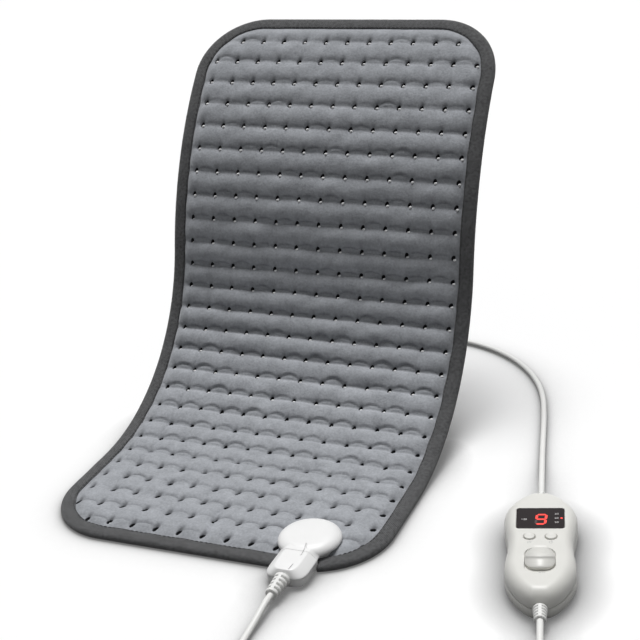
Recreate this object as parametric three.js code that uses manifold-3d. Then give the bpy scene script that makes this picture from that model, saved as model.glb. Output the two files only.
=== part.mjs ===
// A heating pad with a corded hand controller. The tufted pad stands bent into a seat and a back,
// a plug goes into the head at its front edge, a short lead runs to the controller that lies beside it,
// and the mains cord is wound up behind the back. Millimetres, +Z up, floor at Z = 0.
import * as THREE from 'three';
import { mergeVertices } from 'three/addons/utils/BufferGeometryUtils.js';
import Module from 'manifold-3d';

const wasm = await Module();
wasm.setup();

const degree = Math.PI / 180;

// Driving dimensions: clearances
const clearance = 0.3;
const layerGap = 0.4;
const wireGap = 0.5;

// Driving dimensions: the pad's cut size and the curve that it stands in, seen from the side
const padWidth = 304;
const padLength = 600;
const padCornerRadius = 64;
const seatLength = 120;
const bendLength = 241;
const bendAngle = 74.7 * degree;
const backEndAngle = 34.1 * degree;

// Driving dimensions: the pad's layers and tufts
const tuftPitch = 22;
const tuftSideMargin = 17;
const tuftEndMargin = 22;
const tuftShiftAcross = 2;
const tuftShiftAlong = -6;
const bottomCoverThickness = 2.4;
const feltThickness = 1.5;
const feltMargin = 22;
const wireDiameter = 1.6;
const tuftedThickness = 1;
const crownHeight = 4.8;
const edgeCoverThickness = 1.9;
const crownRun = 7;
const bindingWidth = 13;
const bindingThickness = 1;
const bindingClearance = 0.8;
const wireSideMargin = 35;
const leadSideMargin = 29;
const cutoutLength = 18;
const cutoutWidth = 8;
const cutoutDepth = 3.2;

// Driving dimensions: the connector head on the pad and the plug
const headFromSide = 60;
const headFromFront = 33;
const headRadius = 26;
const headFlange = 3;
const headTop = 17;
const headRimUnder = 9.5;
const headFloor = 0.6;
const headEdge = 6;
const footChamfer = 1.5;
const matingFromFront = 8;
const connectorAxisHeight = 8.5;
const plugHalfWidth = 17;
const plugReach = 21;
const plugBottom = 2;
const plugTop = 16;
const plugEdge = 4;
const plugCornerRun = 13;
const tongueHalfWidth = 11;
const tongueHeight = 6;
const tongueLength = 15.5;
const tongueClearance = 0.35;
const pinRadius = 1.2;
const pinSpacing = 11;
const pinLength = 20;
const sleeveWall = 0.55;
const plugWall = 3;
const plugBootLength = 23;
const plugBootBase = 6.6;
const plugBootTip = 4.9;

// Driving dimensions: the controller
const caseLength = 140;
const caseUpperHalf = 28.5;
const caseWaistHalf = 24.9;
const caseLowerHalf = 26.7;
const caseUpperAt = 0.257 * caseLength;
const caseWaistAt = -0.014 * caseLength;
const caseLowerAt = -0.207 * caseLength;
const caseNoseHalf = 6;
const caseTop = 25;
const caseParting = 10;
const caseShoulder = 14;
const caseEdgeRun = 9;
const caseFootRun = 4;
const caseFootRise = 4;
const caseWall = 2;
const windowWidth = 37;
const windowHeight = 28.7;
const windowCorner = 2.5;
const windowThickness = 1.2;
const windowLedge = 2;
const windowAt = 0.192 * caseLength;
const buttonRadius = 4.05;
const buttonSpacing = 16.3;
const buttonAt = 0.011 * caseLength;
const buttonProud = 0.9;
const buttonTravel = 0.6;
const buttonClearance = 0.4;
const buttonFlange = 0.9;
const buttonStem = 1.6;
const buttonEdge = 0.45;
const buttonDish = 0.35;
const sliderWidth = 22.6;
const sliderLength = 25;
const sliderCorner = 8.6;
const sliderTravel = 7;
const sliderClearance = 0.4;
const sliderRestAt = -0.19 * caseLength;
const sliderProud = 1.8;
const sliderRim = 0.5;
const sliderScoop = 2.4;
const sliderRidge = 2.8;
const pocketDepth = 3.2;
const pocketWall = 1.4;
const stemWidth = 6;
const boardThickness = 1.6;
const boardHeight = 12;
const boardMargin = 4.6;
const boardEnd = 10;
const digitWidth = 12.6;
const digitHeight = 19;
const lampRadius = 1.2;
const lampAcross = 13;
const tactWidth = 6;
const tactHeight = 5.2;
const tactPlunger = 1;
const switchWidth = 10;
const switchLength = 20;
const switchHeight = 3.4;
const triacWidth = 10;
const triacLength = 15;
const triacHeight = 4.6;
const filmWidth = 7;
const filmLength = 17;
const filmHeight = 7.4;
const fuseRadius = 2.6;
const fuseLength = 20;
const chipWidth = 7.6;
const chipLength = 5.2;
const chipHeight = 1.6;
const screwAcross = 13;
const screwFromEnd = 18;
const screwRadius = 1.3;
const screwHeadRadius = 2.8;
const screwHeadDepth = 2.2;
const postRadius = 3.3;
const reliefLength = 15;
const reliefBase = 5.7;
const reliefTip = 4.4;
const controllerX = 273;
const controllerY = 60;
const controllerTurn = 14.7 * degree;

// Driving dimensions: cords, the coil and the mains plug
const cordDiameter = 5.2;
const coilInnerRadius = 22;
const coilTurnsPerLayer = 3.25;
const coilPitch = 5.75;
const coilReverseDip = 2;
const coilX = 15;
const coilY = 385;
const tieThickness = 0.6;
const tieWidth = 7;
const tieClearance = 0.25;
const mainsPlugWidth = 25;
const mainsPlugThickness = 15.5;
const mainsPlugLength = 30;
const mainsPlugBootLength = 22;
const mainsPlugBootBase = 4.8;
const mainsPlugBootTip = 3.9;
const mainsPlugX = -28;
const bladeSpacing = 12.7;
const bladeWidth = 6.3;
const bladeThickness = 1.5;
const bladeLength = 17;
const bladeRoot = 5;

// Finishes
function finish(color, roughness, metalness = 0) {
  return new THREE.MeshStandardMaterial({ color, roughness, metalness });
}
const greyPlush = finish(0x8c8e92, 0.95);
const darkTape = finish(0x3b3c3e, 0.9);
const felt = finish(0xd8d4cc, 1);
const wireJacket = finish(0xe9e4da, 0.6);
const whitePlastic = finish(0xe6e6e2, 0.45);
const whiteRubber = finish(0xdedbd4, 0.6);
const darkGlass = finish(0x140c0e, 0.1);
const boardGreen = finish(0x2e6b45, 0.6);
const blackPlastic = finish(0x242424, 0.5);
const redLamp = finish(0xc8281e, 0.4);
const amberFilm = finish(0xb07b33, 0.5);
const brass = finish(0xc9a95a, 0.35, 1);
const steel = finish(0xb9bcc0, 0.35, 1);

// The object, and the part of it that lies beside the pad; both are filled below.
const heatingPad = new THREE.Group();
heatingPad.position.y = -seatLength / 2;
const controller = new THREE.Group();
controller.position.set(controllerX, controllerY, 0);
controller.rotation.z = controllerTurn;
heatingPad.add(controller);

function addPiece(group, name, geometry, material) {
  const piece = new THREE.Mesh(geometry, material);
  piece.name = name;
  group.add(piece);
  return piece;
}

// A closed mesh from its corners and triangles, turned so that its faces point out.
function closedGeometry(corners, triangles) {
  let volume = 0;
  for (let k = 0; k < triangles.length; k += 3) {
    const [a, b, c] = [0, 1, 2].map((step) => corners[triangles[k + step]]);
    volume += a.dot(b.clone().cross(c));
  }
  const index = volume > 0 ? triangles : triangles.toReversed();
  const geometry = new THREE.BufferGeometry().setFromPoints(corners);
  geometry.setIndex(index);
  geometry.computeVertexNormals();
  return geometry;
}

function toSolid(geometry) {
  const bare = geometry.clone();
  for (const name of Object.keys(bare.attributes)) {
    if (name !== 'position') bare.deleteAttribute(name);
  }
  const merged = mergeVertices(bare);
  const triVerts = [];
  for (let k = 0; k < merged.index.count; k += 3) {
    const [a, b, c] = [0, 1, 2].map((step) => merged.index.getX(k + step));
    if (a !== b && b !== c && c !== a) triVerts.push(a, b, c);
  }
  const vertProperties = Float32Array.from(merged.attributes.position.array);
  const mesh = new wasm.Mesh({ numProp: 3, vertProperties, triVerts: Uint32Array.from(triVerts) });
  return new wasm.Manifold(mesh);
}

function toGeometry(solid) {
  const mesh = solid.getMesh();
  const geometry = new THREE.BufferGeometry();
  geometry.setAttribute('position', new THREE.BufferAttribute(mesh.vertProperties, 3));
  geometry.setIndex(new THREE.BufferAttribute(mesh.triVerts, 1));
  geometry.computeVertexNormals();
  return geometry;
}

function joined(...solids) {
  return solids.reduce((whole, next) => whole.add(next));
}

function without(solid, ...tools) {
  return tools.reduce((rest, tool) => rest.subtract(tool), solid);
}

// A solid through rings of equal counts stacked along Z, each counter-clockwise, with flat ends.
function loft(rings) {
  const count = rings[0].length;
  const triangles = [];
  for (let ring = 0; ring + 1 < rings.length; ring += 1) {
    for (let step = 0; step < count; step += 1) {
      const a = ring * count + step;
      const b = ring * count + (step + 1) % count;
      triangles.push(a, b, b + count, a, b + count, a + count);
    }
  }
  const last = (rings.length - 1) * count;
  const bottomCap = THREE.ShapeUtils.triangulateShape(rings[0], []);
  const topCap = THREE.ShapeUtils.triangulateShape(rings.at(-1), []);
  for (const [a, b, c] of bottomCap) triangles.push(a, c, b);
  for (const [a, b, c] of topCap) triangles.push(last + a, last + b, last + c);
  return closedGeometry(rings.flat(), triangles);
}

function ringAt(outline, height) {
  return outline.map((point) => new THREE.Vector3(point.x, point.y, height));
}

function prism(outline, bottom, top) {
  return loft([ringAt(outline, bottom), ringAt(outline, top)]);
}

function box(x0, x1, y0, y1, z0, z1) {
  const geometry = new THREE.BoxGeometry(x1 - x0, y1 - y0, z1 - z0);
  return geometry.translate((x0 + x1) / 2, (y0 + y1) / 2, (z0 + z1) / 2);
}

function roundedRectangle(width, height, corner, segments = 5) {
  const outline = [];
  for (let quarter = 0; quarter < 4; quarter += 1) {
    const signX = quarter === 0 || quarter === 3 ? 1 : -1;
    const signY = quarter < 2 ? 1 : -1;
    for (let step = 0; step <= segments; step += 1) {
      const angle = (quarter + step / segments) * Math.PI / 2;
      const x = signX * (width / 2 - corner) + corner * Math.cos(angle);
      const y = signY * (height / 2 - corner) + corner * Math.sin(angle);
      outline.push(new THREE.Vector2(x, y));
    }
  }
  return outline;
}

// A turned piece about the Y axis; profile points are (radius, along), from axis to axis.
function turned(profile, segments) {
  const points = profile.map(([radius, along]) => new THREE.Vector2(radius, along));
  return new THREE.LatheGeometry(points, segments);
}

function rod(radius, from, to, segments = 10) {
  return turned([[0, from], [radius, from], [radius, to], [0, to]], segments);
}

function upright(geometry) {
  return geometry.rotateX(Math.PI / 2);
}

// Turns a profile drawn in (along, up) and extruded across into its place: along Y, up Z, across X.
const sideOn = new THREE.Matrix4().makeBasis(
  new THREE.Vector3(0, 1, 0), new THREE.Vector3(0, 0, 1), new THREE.Vector3(1, 0, 0),
);

// The pad's curve: a point at a distance along the pad, across it, and above its underside.
const bendRadius = bendLength / bendAngle;
const backLength = padLength - seatLength - bendLength;
const backRadius = backLength / (bendAngle - backEndAngle);

function padSlope(along) {
  if (along < seatLength) return 0;
  if (along < seatLength + bendLength) return (along - seatLength) / bendRadius;
  return bendAngle - (along - seatLength - bendLength) / backRadius;
}

function padPoint(across, along, above) {
  const slope = padSlope(along);
  let y = along;
  let z = 0;
  if (along >= seatLength && along < seatLength + bendLength) {
    y = seatLength + bendRadius * Math.sin(slope);
    z = bendRadius * (1 - Math.cos(slope));
  } else if (along >= seatLength + bendLength) {
    const back = backRadius * (Math.sin(bendAngle) - Math.sin(slope));
    const up = backRadius * (Math.cos(slope) - Math.cos(bendAngle));
    y = seatLength + bendRadius * Math.sin(bendAngle) + back;
    z = bendRadius * (1 - Math.cos(bendAngle)) + up;
  }
  return new THREE.Vector3(across, y - above * Math.sin(slope), z + above * Math.cos(slope));
}

// Half of the pad's width at a distance along it, for the rounded outline drawn in by an inset.
function halfWidthAt(along, inset) {
  const radius = padCornerRadius - inset;
  const straight = padWidth / 2 - inset;
  const fromEnd = Math.min(along, padLength - along) - inset;
  if (fromEnd >= radius) return straight;
  return straight - radius + Math.sqrt(Math.max(radius ** 2 - (radius - fromEnd) ** 2, 0));
}

// Heights of the layers above the underside
const feltBottom = bottomCoverThickness + layerGap;
const feltTop = feltBottom + feltThickness;
const wireHeight = feltTop + wireGap + wireDiameter / 2;
const topCoverBottom = feltTop + 2 * wireGap + wireDiameter;
const tuftHeight = topCoverBottom + tuftedThickness;
const crestHeight = tuftHeight + crownHeight;
const edgeLower = bottomCoverThickness + layerGap;
const edgeUpper = edgeLower + edgeCoverThickness;
const bindingHeight = edgeUpper + layerGap + bindingThickness;
const coverInset = bindingThickness + bindingClearance;
const bindingInset = bindingWidth + clearance;

// Tufts stand on a square grid, sewn a little off the pad's centre, and crests stand between them.
const tuftColumns = Math.floor((padWidth - 2 * tuftSideMargin) / tuftPitch) + 1;
const tuftRows = Math.floor((padLength - 2 * tuftEndMargin) / tuftPitch) + 1;
const firstTuftRow = (padLength - (tuftRows - 1) * tuftPitch) / 2 + tuftShiftAlong;
const firstTuftColumn = -(tuftColumns - 1) * tuftPitch / 2 + tuftShiftAcross;

const tuftStations = Array.from({ length: tuftRows }, (_, row) => firstTuftRow + row * tuftPitch);
const crestStations = tuftStations.slice(1).map((along) => along - tuftPitch / 2);
const cornerStations = [0, 30, 45, 60]
  .map((angle) => coverInset + (padCornerRadius - coverInset) * (1 - Math.cos(angle * degree)));
const endStations = [...cornerStations, bindingInset];
const nearStations = endStations.filter((along) => along < firstTuftRow - 2);
const farStations = endStations
  .map((along) => padLength - along)
  .filter((along) => along > tuftStations.at(-1) + 2);
const mainStations = [...nearStations, ...tuftStations, ...farStations].sort((a, b) => a - b);
const allStations = [...mainStations, ...crestStations].sort((a, b) => a - b);

// How far the layers have risen from the bound edge to their full height, from 0 to 1.
function riseAt(along) {
  const fromEnd = Math.min(along, padLength - along);
  return THREE.MathUtils.clamp((fromEnd - bindingInset) / (firstTuftRow - bindingInset), 0, 1);
}

function edgeColumns(along) {
  const rim = halfWidthAt(along, coverInset);
  const inner = Math.min(halfWidthAt(along, bindingInset), rim - clearance * 6);
  return { rim, inner, rise: inner - crownRun };
}

// Triangles between two rows of corner numbers that both run towards +X.
function zip(triangles, corners, rowA, rowB, facesBack) {
  let a = 0;
  let b = 0;
  while (a < rowA.length - 1 || b < rowB.length - 1) {
    const nextA = a < rowA.length - 1 ? corners[rowA[a + 1]].x : Infinity;
    const nextB = b < rowB.length - 1 ? corners[rowB[b + 1]].x : Infinity;
    const third = nextA <= nextB ? rowA[a + 1] : rowB[b + 1];
    const triangle = [rowA[a], third, rowB[b]];
    triangles.push(...(facesBack ? triangle.reverse() : triangle));
    if (nextA <= nextB) a += 1;
    else b += 1;
  }
}

// Rows are joined in bands, so that the flat bound edges, the slopes and the raised middle stay apart.
function joinRows(triangles, corners, rowA, rowB, facesBack) {
  const edged = [[0, 2], [1, 3], [2, -2], [-3, -1], [-2, undefined]];
  const bands = rowA.length > 3 ? edged : [[0, undefined]];
  for (const [from, to] of bands) {
    zip(triangles, corners, rowA.slice(from, to), rowB.slice(from, to), facesBack);
  }
}

// A closed sheet from rows along the pad; each row has its upper and lower points from -X to +X.
function sheet(rows) {
  const corners = [];
  const numbered = rows.map((row) => {
    const add = (points) => points.map((point) => corners.push(point) - 1);
    return { upper: add(row.upper), lower: add(row.lower) };
  });
  const triangles = [];
  zip(triangles, corners, numbered[0].lower, numbered[0].upper, false);
  zip(triangles, corners, numbered.at(-1).lower, numbered.at(-1).upper, true);
  for (let row = 0; row + 1 < numbered.length; row += 1) {
    const here = numbered[row];
    const next = numbered[row + 1];
    joinRows(triangles, corners, here.upper, next.upper, false);
    joinRows(triangles, corners, here.lower, next.lower, true);
    triangles.push(here.lower[0], here.upper[0], next.upper[0]);
    triangles.push(here.lower[0], next.upper[0], next.lower[0]);
    triangles.push(next.upper.at(-1), here.upper.at(-1), here.lower.at(-1));
    triangles.push(next.lower.at(-1), next.upper.at(-1), here.lower.at(-1));
  }
  return closedGeometry(corners, triangles);
}

// Points of one row of a sheet, mirrored about the pad's middle, from (across, above) pairs.
function mirroredRow(along, pairs) {
  const left = pairs.map(([across, above]) => padPoint(-across, along, above));
  const right = pairs.toReversed().map(([across, above]) => padPoint(across, along, above));
  return [...left, ...right];
}

function topCover() {
  const rows = allStations.map((along) => {
    const { rim, inner, rise } = edgeColumns(along);
    const risen = riseAt(along);
    const isCrest = crestStations.includes(along);
    const height = THREE.MathUtils.lerp(edgeUpper, isCrest ? crestHeight : tuftHeight, risen);
    const squeeze = inner / (padWidth / 2 - bindingInset);
    const columns = isCrest ? tuftColumns - 1 : tuftColumns;
    const firstColumn = firstTuftColumn + (isCrest ? tuftPitch / 2 : 0);
    const middle = Array.from({ length: columns }, (_, column) => {
      return padPoint((firstColumn + column * tuftPitch) * squeeze, along, height);
    });
    const leftEdge = [padPoint(-rim, along, edgeUpper), padPoint(-inner, along, edgeUpper)];
    const rightEdge = [padPoint(inner, along, edgeUpper), padPoint(rim, along, edgeUpper)];
    const lowered = THREE.MathUtils.lerp(edgeLower, topCoverBottom, risen);
    const lower = mirroredRow(along, [[rim, edgeLower], [inner, edgeLower], [rise, lowered]]);
    return { upper: [...leftEdge, ...middle, ...rightEdge], lower };
  });
  return sheet(rows);
}

function bottomCover() {
  const rows = mainStations.map((along) => {
    const { rim, inner, rise } = edgeColumns(along);
    const raised = bindingThickness + layerGap;
    const floor = THREE.MathUtils.lerp(raised, 0, riseAt(along));
    const upper = mirroredRow(along, [[rim, bottomCoverThickness]]);
    const lower = mirroredRow(along, [[rim, raised], [inner, raised], [rise, floor]]);
    return { upper, lower };
  });
  return sheet(rows);
}

function feltCarrier() {
  const rows = tuftStations.map((along) => {
    const half = halfWidthAt(along, feltMargin);
    const upper = mirroredRow(along, [[half, feltTop]]);
    return { upper, lower: mirroredRow(along, [[half, feltBottom]]) };
  });
  return sheet(rows);
}

// The rim of the pad as steps round its outline, each with its outward direction in the pad's plane.
function rimSteps() {
  const cornerSteps = 8;
  const steps = [];
  const corner = (across, along, startAngle) => {
    for (let step = 0; step <= cornerSteps; step += 1) {
      const angle = (startAngle + 90 * step / cornerSteps) * degree;
      const out = new THREE.Vector2(Math.cos(angle), Math.sin(angle));
      steps.push({ base: new THREE.Vector2(across, along).addScaledVector(out, padCornerRadius), out });
    }
  };
  const side = (across, stations) => {
    for (const along of stations) {
      steps.push({ base: new THREE.Vector2(across, along), out: new THREE.Vector2(Math.sign(across), 0) });
    }
  };
  const cornerAcross = padWidth / 2 - padCornerRadius;
  const cornerFar = padLength - padCornerRadius;
  const sideStations = tuftStations.filter((along) => along > padCornerRadius + 2 && along < cornerFar - 2);
  corner(cornerAcross, padCornerRadius, -90);
  side(padWidth / 2, sideStations);
  corner(cornerAcross, cornerFar, 0);
  corner(-cornerAcross, cornerFar, 90);
  side(-padWidth / 2, sideStations.toReversed());
  corner(-cornerAcross, padCornerRadius, 180);
  return steps;
}

function edgeBinding() {
  const leafUnder = bindingHeight - bindingThickness;
  const section = [
    [0, 0], [0, bindingHeight], [bindingWidth, bindingHeight], [bindingWidth, leafUnder],
    [bindingThickness, leafUnder], [bindingThickness, bindingThickness],
    [bindingWidth, bindingThickness], [bindingWidth, 0],
  ];
  const steps = rimSteps();
  const corners = steps.flatMap(({ base, out }) => section.map(([inset, above]) => {
    const place = base.clone().addScaledVector(out, -inset);
    return padPoint(place.x, place.y, above);
  }));
  const count = section.length;
  const triangles = [];
  for (let step = 0; step < steps.length; step += 1) {
    for (let point = 0; point < count; point += 1) {
      const a = step * count + point;
      const b = step * count + (point + 1) % count;
      const c = ((step + 1) % steps.length) * count + point;
      const d = ((step + 1) % steps.length) * count + (point + 1) % count;
      triangles.push(a, c, b, b, c, d);
    }
  }
  return closedGeometry(corners, triangles);
}

// A round tube through points, its section carried along without twist, with flat ends.
function tubeThrough(points, radius, sides) {
  const corners = [];
  let side = new THREE.Vector3(0, 0, 1);
  points.forEach((point, step) => {
    const before = points[Math.max(step - 1, 0)];
    const after = points[Math.min(step + 1, points.length - 1)];
    const heading = after.clone().sub(before).normalize();
    side = side.clone().addScaledVector(heading, -side.dot(heading)).normalize();
    const other = heading.clone().cross(side);
    for (let turn = 0; turn < sides; turn += 1) {
      const angle = 2 * Math.PI * (turn + 0.5) / sides;
      const offset = side.clone().multiplyScalar(Math.cos(angle)).addScaledVector(other, Math.sin(angle));
      corners.push(point.clone().addScaledVector(offset, radius));
    }
  });
  const triangles = [];
  for (let step = 0; step + 1 < points.length; step += 1) {
    for (let turn = 0; turn < sides; turn += 1) {
      const a = step * sides + turn;
      const b = step * sides + (turn + 1) % sides;
      triangles.push(a, b, b + sides, a, b + sides, a + sides);
    }
  }
  const last = (points.length - 1) * sides;
  for (let turn = 1; turn + 1 < sides; turn += 1) {
    triangles.push(0, turn + 1, turn);
    triangles.push(last, last + turn, last + turn + 1);
  }
  return closedGeometry(corners, triangles);
}

// The heating wire leaves the head, crosses the pad to and fro between the tuft rows,
// and comes back along the side.
const headX = padWidth / 2 - headFromSide;
const headBack = headFromFront + headRadius - headFlange;

function heatingWire() {
  const turnRadius = tuftPitch / 2;
  const turnSteps = 3;
  const leftTurn = -(padWidth / 2 - wireSideMargin) + turnRadius;
  const leadAcross = padWidth / 2 - leadSideMargin;
  const rightTurn = leadAcross - 2 * turnRadius;
  const clearOfHead = crestStations.filter((along) => along > headBack + tuftPitch);
  const runs = clearOfHead.slice(0, clearOfHead.length - clearOfHead.length % 2);
  const socketStart = headBack + 2 * clearance;
  const outX = headX - pinSpacing / 2;
  const backX = headX + pinSpacing / 2;
  const place = (across, along) => padPoint(across, along, wireHeight);
  const arc = (across, along, from, to) => Array.from({ length: turnSteps + 1 }, (_, step) => {
    const angle = THREE.MathUtils.lerp(from, to, step / turnSteps) * degree;
    return place(across + turnRadius * Math.cos(angle), along + turnRadius * Math.sin(angle));
  });
  const points = [place(outX, socketStart)];
  points.push(...arc(outX - turnRadius, runs[0] - turnRadius, 0, 90));
  runs.forEach((along, run) => {
    if (run === runs.length - 1) return;
    const headsLeft = run % 2 === 0;
    const middle = along + turnRadius;
    points.push(...(headsLeft ? arc(leftTurn, middle, 270, 90) : arc(rightTurn, middle, -90, 90)));
  });
  points.push(...arc(leadAcross - turnRadius, runs.at(-1) - turnRadius, 90, 0));
  const lowest = runs[0] - tuftPitch / 4;
  const returnRows = allStations.filter((along) => along > lowest && along < runs.at(-1) - tuftPitch);
  for (const along of returnRows.toReversed()) points.push(place(leadAcross, along));
  const swing = (returnRows[0] + socketStart) / 2;
  points.push(place((leadAcross + backX) / 2, swing + wireDiameter));
  points.push(place(backX, swing - wireDiameter * 2));
  points.push(place(backX, socketStart));
  return tubeThrough(points, wireDiameter / 2, 4);
}

// The outline of the head, drawn in by an inset: a round disc with a straight neck to its mating face.
const matingOffset = headFromFront - matingFromFront;

function headOutline(inset) {
  const arcSteps = 24;
  const radius = headRadius - inset;
  const half = plugHalfWidth - inset;
  const meet = Math.acos(half / radius);
  const outline = [new THREE.Vector2(half, -matingOffset)];
  for (let step = 0; step <= arcSteps; step += 1) {
    const angle = THREE.MathUtils.lerp(-meet, Math.PI + meet, step / arcSteps);
    outline.push(new THREE.Vector2(radius * Math.cos(angle), radius * Math.sin(angle)));
  }
  outline.push(new THREE.Vector2(-half, -matingOffset));
  return outline;
}

// Rings that round an upper edge over: a quarter ellipse from the wall to the flat top.
function roundedOver(ringFor, run, bottom, top, steps = 4) {
  return Array.from({ length: steps + 1 }, (_, step) => {
    const angle = step / steps * Math.PI / 2;
    return ringFor(run * (1 - Math.cos(angle)), bottom + (top - bottom) * Math.sin(angle));
  });
}

const pinAcross = [-pinSpacing / 2, pinSpacing / 2];
const cavityHalf = tongueHalfWidth + tongueClearance;
const cavityBottom = connectorAxisHeight - tongueHeight / 2 - tongueClearance;
const cavityTop = connectorAxisHeight + tongueHeight / 2 + tongueClearance;
const cavityEnd = -matingOffset + tongueLength + clearance;

function alongAxis(geometry, across) {
  return toSolid(geometry.translate(across, 0, connectorAxisHeight));
}

// Pieces of the connector are drawn about the centre of the head.
const connector = new THREE.Group();
connector.position.set(headX, headFromFront, 0);
heatingPad.add(connector);

const aboveSplit = toSolid(box(-100, 100, -100, 100, connectorAxisHeight + clearance / 2, 100));
const belowSplit = toSolid(box(-100, 100, -100, 100, -100, connectorAxisHeight - clearance / 2));

function padHead() {
  const ringFor = (inset, height) => ringAt(headOutline(inset), height);
  const rings = [
    ringFor(headFlange + footChamfer, headFloor),
    ringFor(headFlange, headFloor + footChamfer),
    ringFor(headFlange, headRimUnder),
    ringFor(0, headRimUnder),
    ...roundedOver(ringFor, headEdge, headTop - headEdge, headTop),
  ];
  const mouth = -matingOffset - 1;
  const cavity = toSolid(box(-cavityHalf, cavityHalf, mouth, cavityEnd, cavityBottom, cavityTop));
  const pinSeats = pinAcross.map((across) => {
    return alongAxis(rod(pinRadius + clearance, cavityEnd - 1, cavityEnd + pinLength / 2), across);
  });
  return without(toSolid(loft(rings)), cavity, ...pinSeats);
}

const head = padHead();
addPiece(connector, 'socket_upper_shell', toGeometry(head.intersect(aboveSplit)), whitePlastic);
addPiece(connector, 'socket_lower_shell', toGeometry(head.intersect(belowSplit)), whitePlastic);

const pinTip = cavityEnd + pinLength / 2 - clearance - pinLength;
pinAcross.forEach((across, side) => {
  const tipLength = pinRadius * 0.8;
  const profile = [
    [0, pinTip], [pinRadius * 0.4, pinTip], [pinRadius, pinTip + tipLength],
    [pinRadius, pinTip + pinLength], [0, pinTip + pinLength],
  ];
  const pin = turned(profile, 10).translate(across, 0, connectorAxisHeight);
  addPiece(connector, `socket_pin_${side === 0 ? 'left' : 'right'}`, pin, brass);
});

// The pad's layers are cut away round the head's stem, under its flange, and where the plug passes the rim.
function headCutOut() {
  const stem = prism(headOutline(headFlange - clearance), -1, headTop);
  const flange = prism(headOutline(-clearance), headRimUnder - clearance, headTop + crestHeight);
  const half = plugHalfWidth + clearance;
  const passage = box(-half, half, -headFromFront - 2, -matingOffset + 1, -1, headTop);
  const whole = joined(toSolid(stem), toSolid(flange), toSolid(passage));
  return whole.translate([headX, headFromFront, 0]);
}

const cutOut = headCutOut();
const thermostatAlong = crestStations.find((along) => along > headBack + tuftPitch) + tuftPitch / 2;
const pocketHalfLength = cutoutLength / 2 + clearance;
const pocketHalfWidth = cutoutWidth / 2 + clearance;
const thermostatPocket = box(
  -pocketHalfLength, pocketHalfLength,
  thermostatAlong - pocketHalfWidth, thermostatAlong + pocketHalfWidth, feltBottom - 1, feltTop + 1,
);

addPiece(heatingPad, 'top_cover', toGeometry(toSolid(topCover()).subtract(cutOut)), greyPlush);
addPiece(heatingPad, 'bottom_cover', toGeometry(toSolid(bottomCover()).subtract(cutOut)), greyPlush);
const feltSolid = without(toSolid(feltCarrier()), cutOut, toSolid(thermostatPocket));
addPiece(heatingPad, 'felt_carrier', toGeometry(feltSolid), felt);
addPiece(heatingPad, 'heating_wire', heatingWire(), wireJacket);
addPiece(heatingPad, 'edge_binding', toGeometry(toSolid(edgeBinding()).subtract(cutOut)), darkTape);
const cutoutBottom = bottomCoverThickness + clearance;
const cutoutOutline = roundedRectangle(cutoutLength, cutoutWidth, cutoutWidth / 4, 3);
const thermostat = prism(cutoutOutline, cutoutBottom, cutoutBottom + cutoutDepth);
addPiece(heatingPad, 'thermal_cutout', thermostat.translate(0, thermostatAlong, 0), blackPlastic);

// The plug: a body with rounded front corners, a tongue for the head, and a hollow for its contacts.
const plugRear = -matingOffset - clearance;
const plugFront = -headFromFront - plugReach;

function plugOutline(inset) {
  const half = plugHalfWidth - inset;
  const front = plugFront + inset;
  const shape = new THREE.Path();
  shape.moveTo(half, plugRear);
  shape.lineTo(-half, plugRear);
  shape.lineTo(-half, front + plugCornerRun);
  shape.quadraticCurveTo(-half, front, -half + plugCornerRun * 0.7, front);
  shape.lineTo(half - plugCornerRun * 0.7, front);
  shape.quadraticCurveTo(half, front, half, front + plugCornerRun);
  return shape.getPoints(5);
}

function ribbedBoot({ flange, flangeLength, neck, neckLength, base, tip, length, ribs }) {
  const inside = -neckLength - flangeLength;
  const profile = [[0, inside], [flange, inside], [flange, -neckLength]];
  profile.push([neck, -neckLength], [neck, clearance]);
  const pitch = (length - clearance) / ribs;
  const core = cordDiameter / 2 + 0.7;
  for (let rib = 0; rib < ribs; rib += 1) {
    const from = clearance + rib * pitch;
    const to = from + pitch * 0.6;
    profile.push([THREE.MathUtils.lerp(base, tip, from / length), from]);
    profile.push([THREE.MathUtils.lerp(base, tip, to / length), to]);
    if (rib < ribs - 1) profile.push([core, to], [core, from + pitch]);
  }
  const end = profile.at(-1)[1];
  profile.push([0, end]);
  const spineHalf = cordDiameter * 0.22;
  const spine = box(-spineHalf, spineHalf, clearance, end, -tip * 0.94, tip * 0.94);
  return { geometry: toGeometry(toSolid(turned(profile, 10)).add(toSolid(spine))), end };
}

const plugBoot = ribbedBoot({
  flange: plugBootTip + 0.6, flangeLength: 2, neck: plugBootTip - 1, neckLength: plugWall + clearance,
  base: plugBootBase, tip: plugBootTip, length: plugBootLength, ribs: 5,
});

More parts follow.
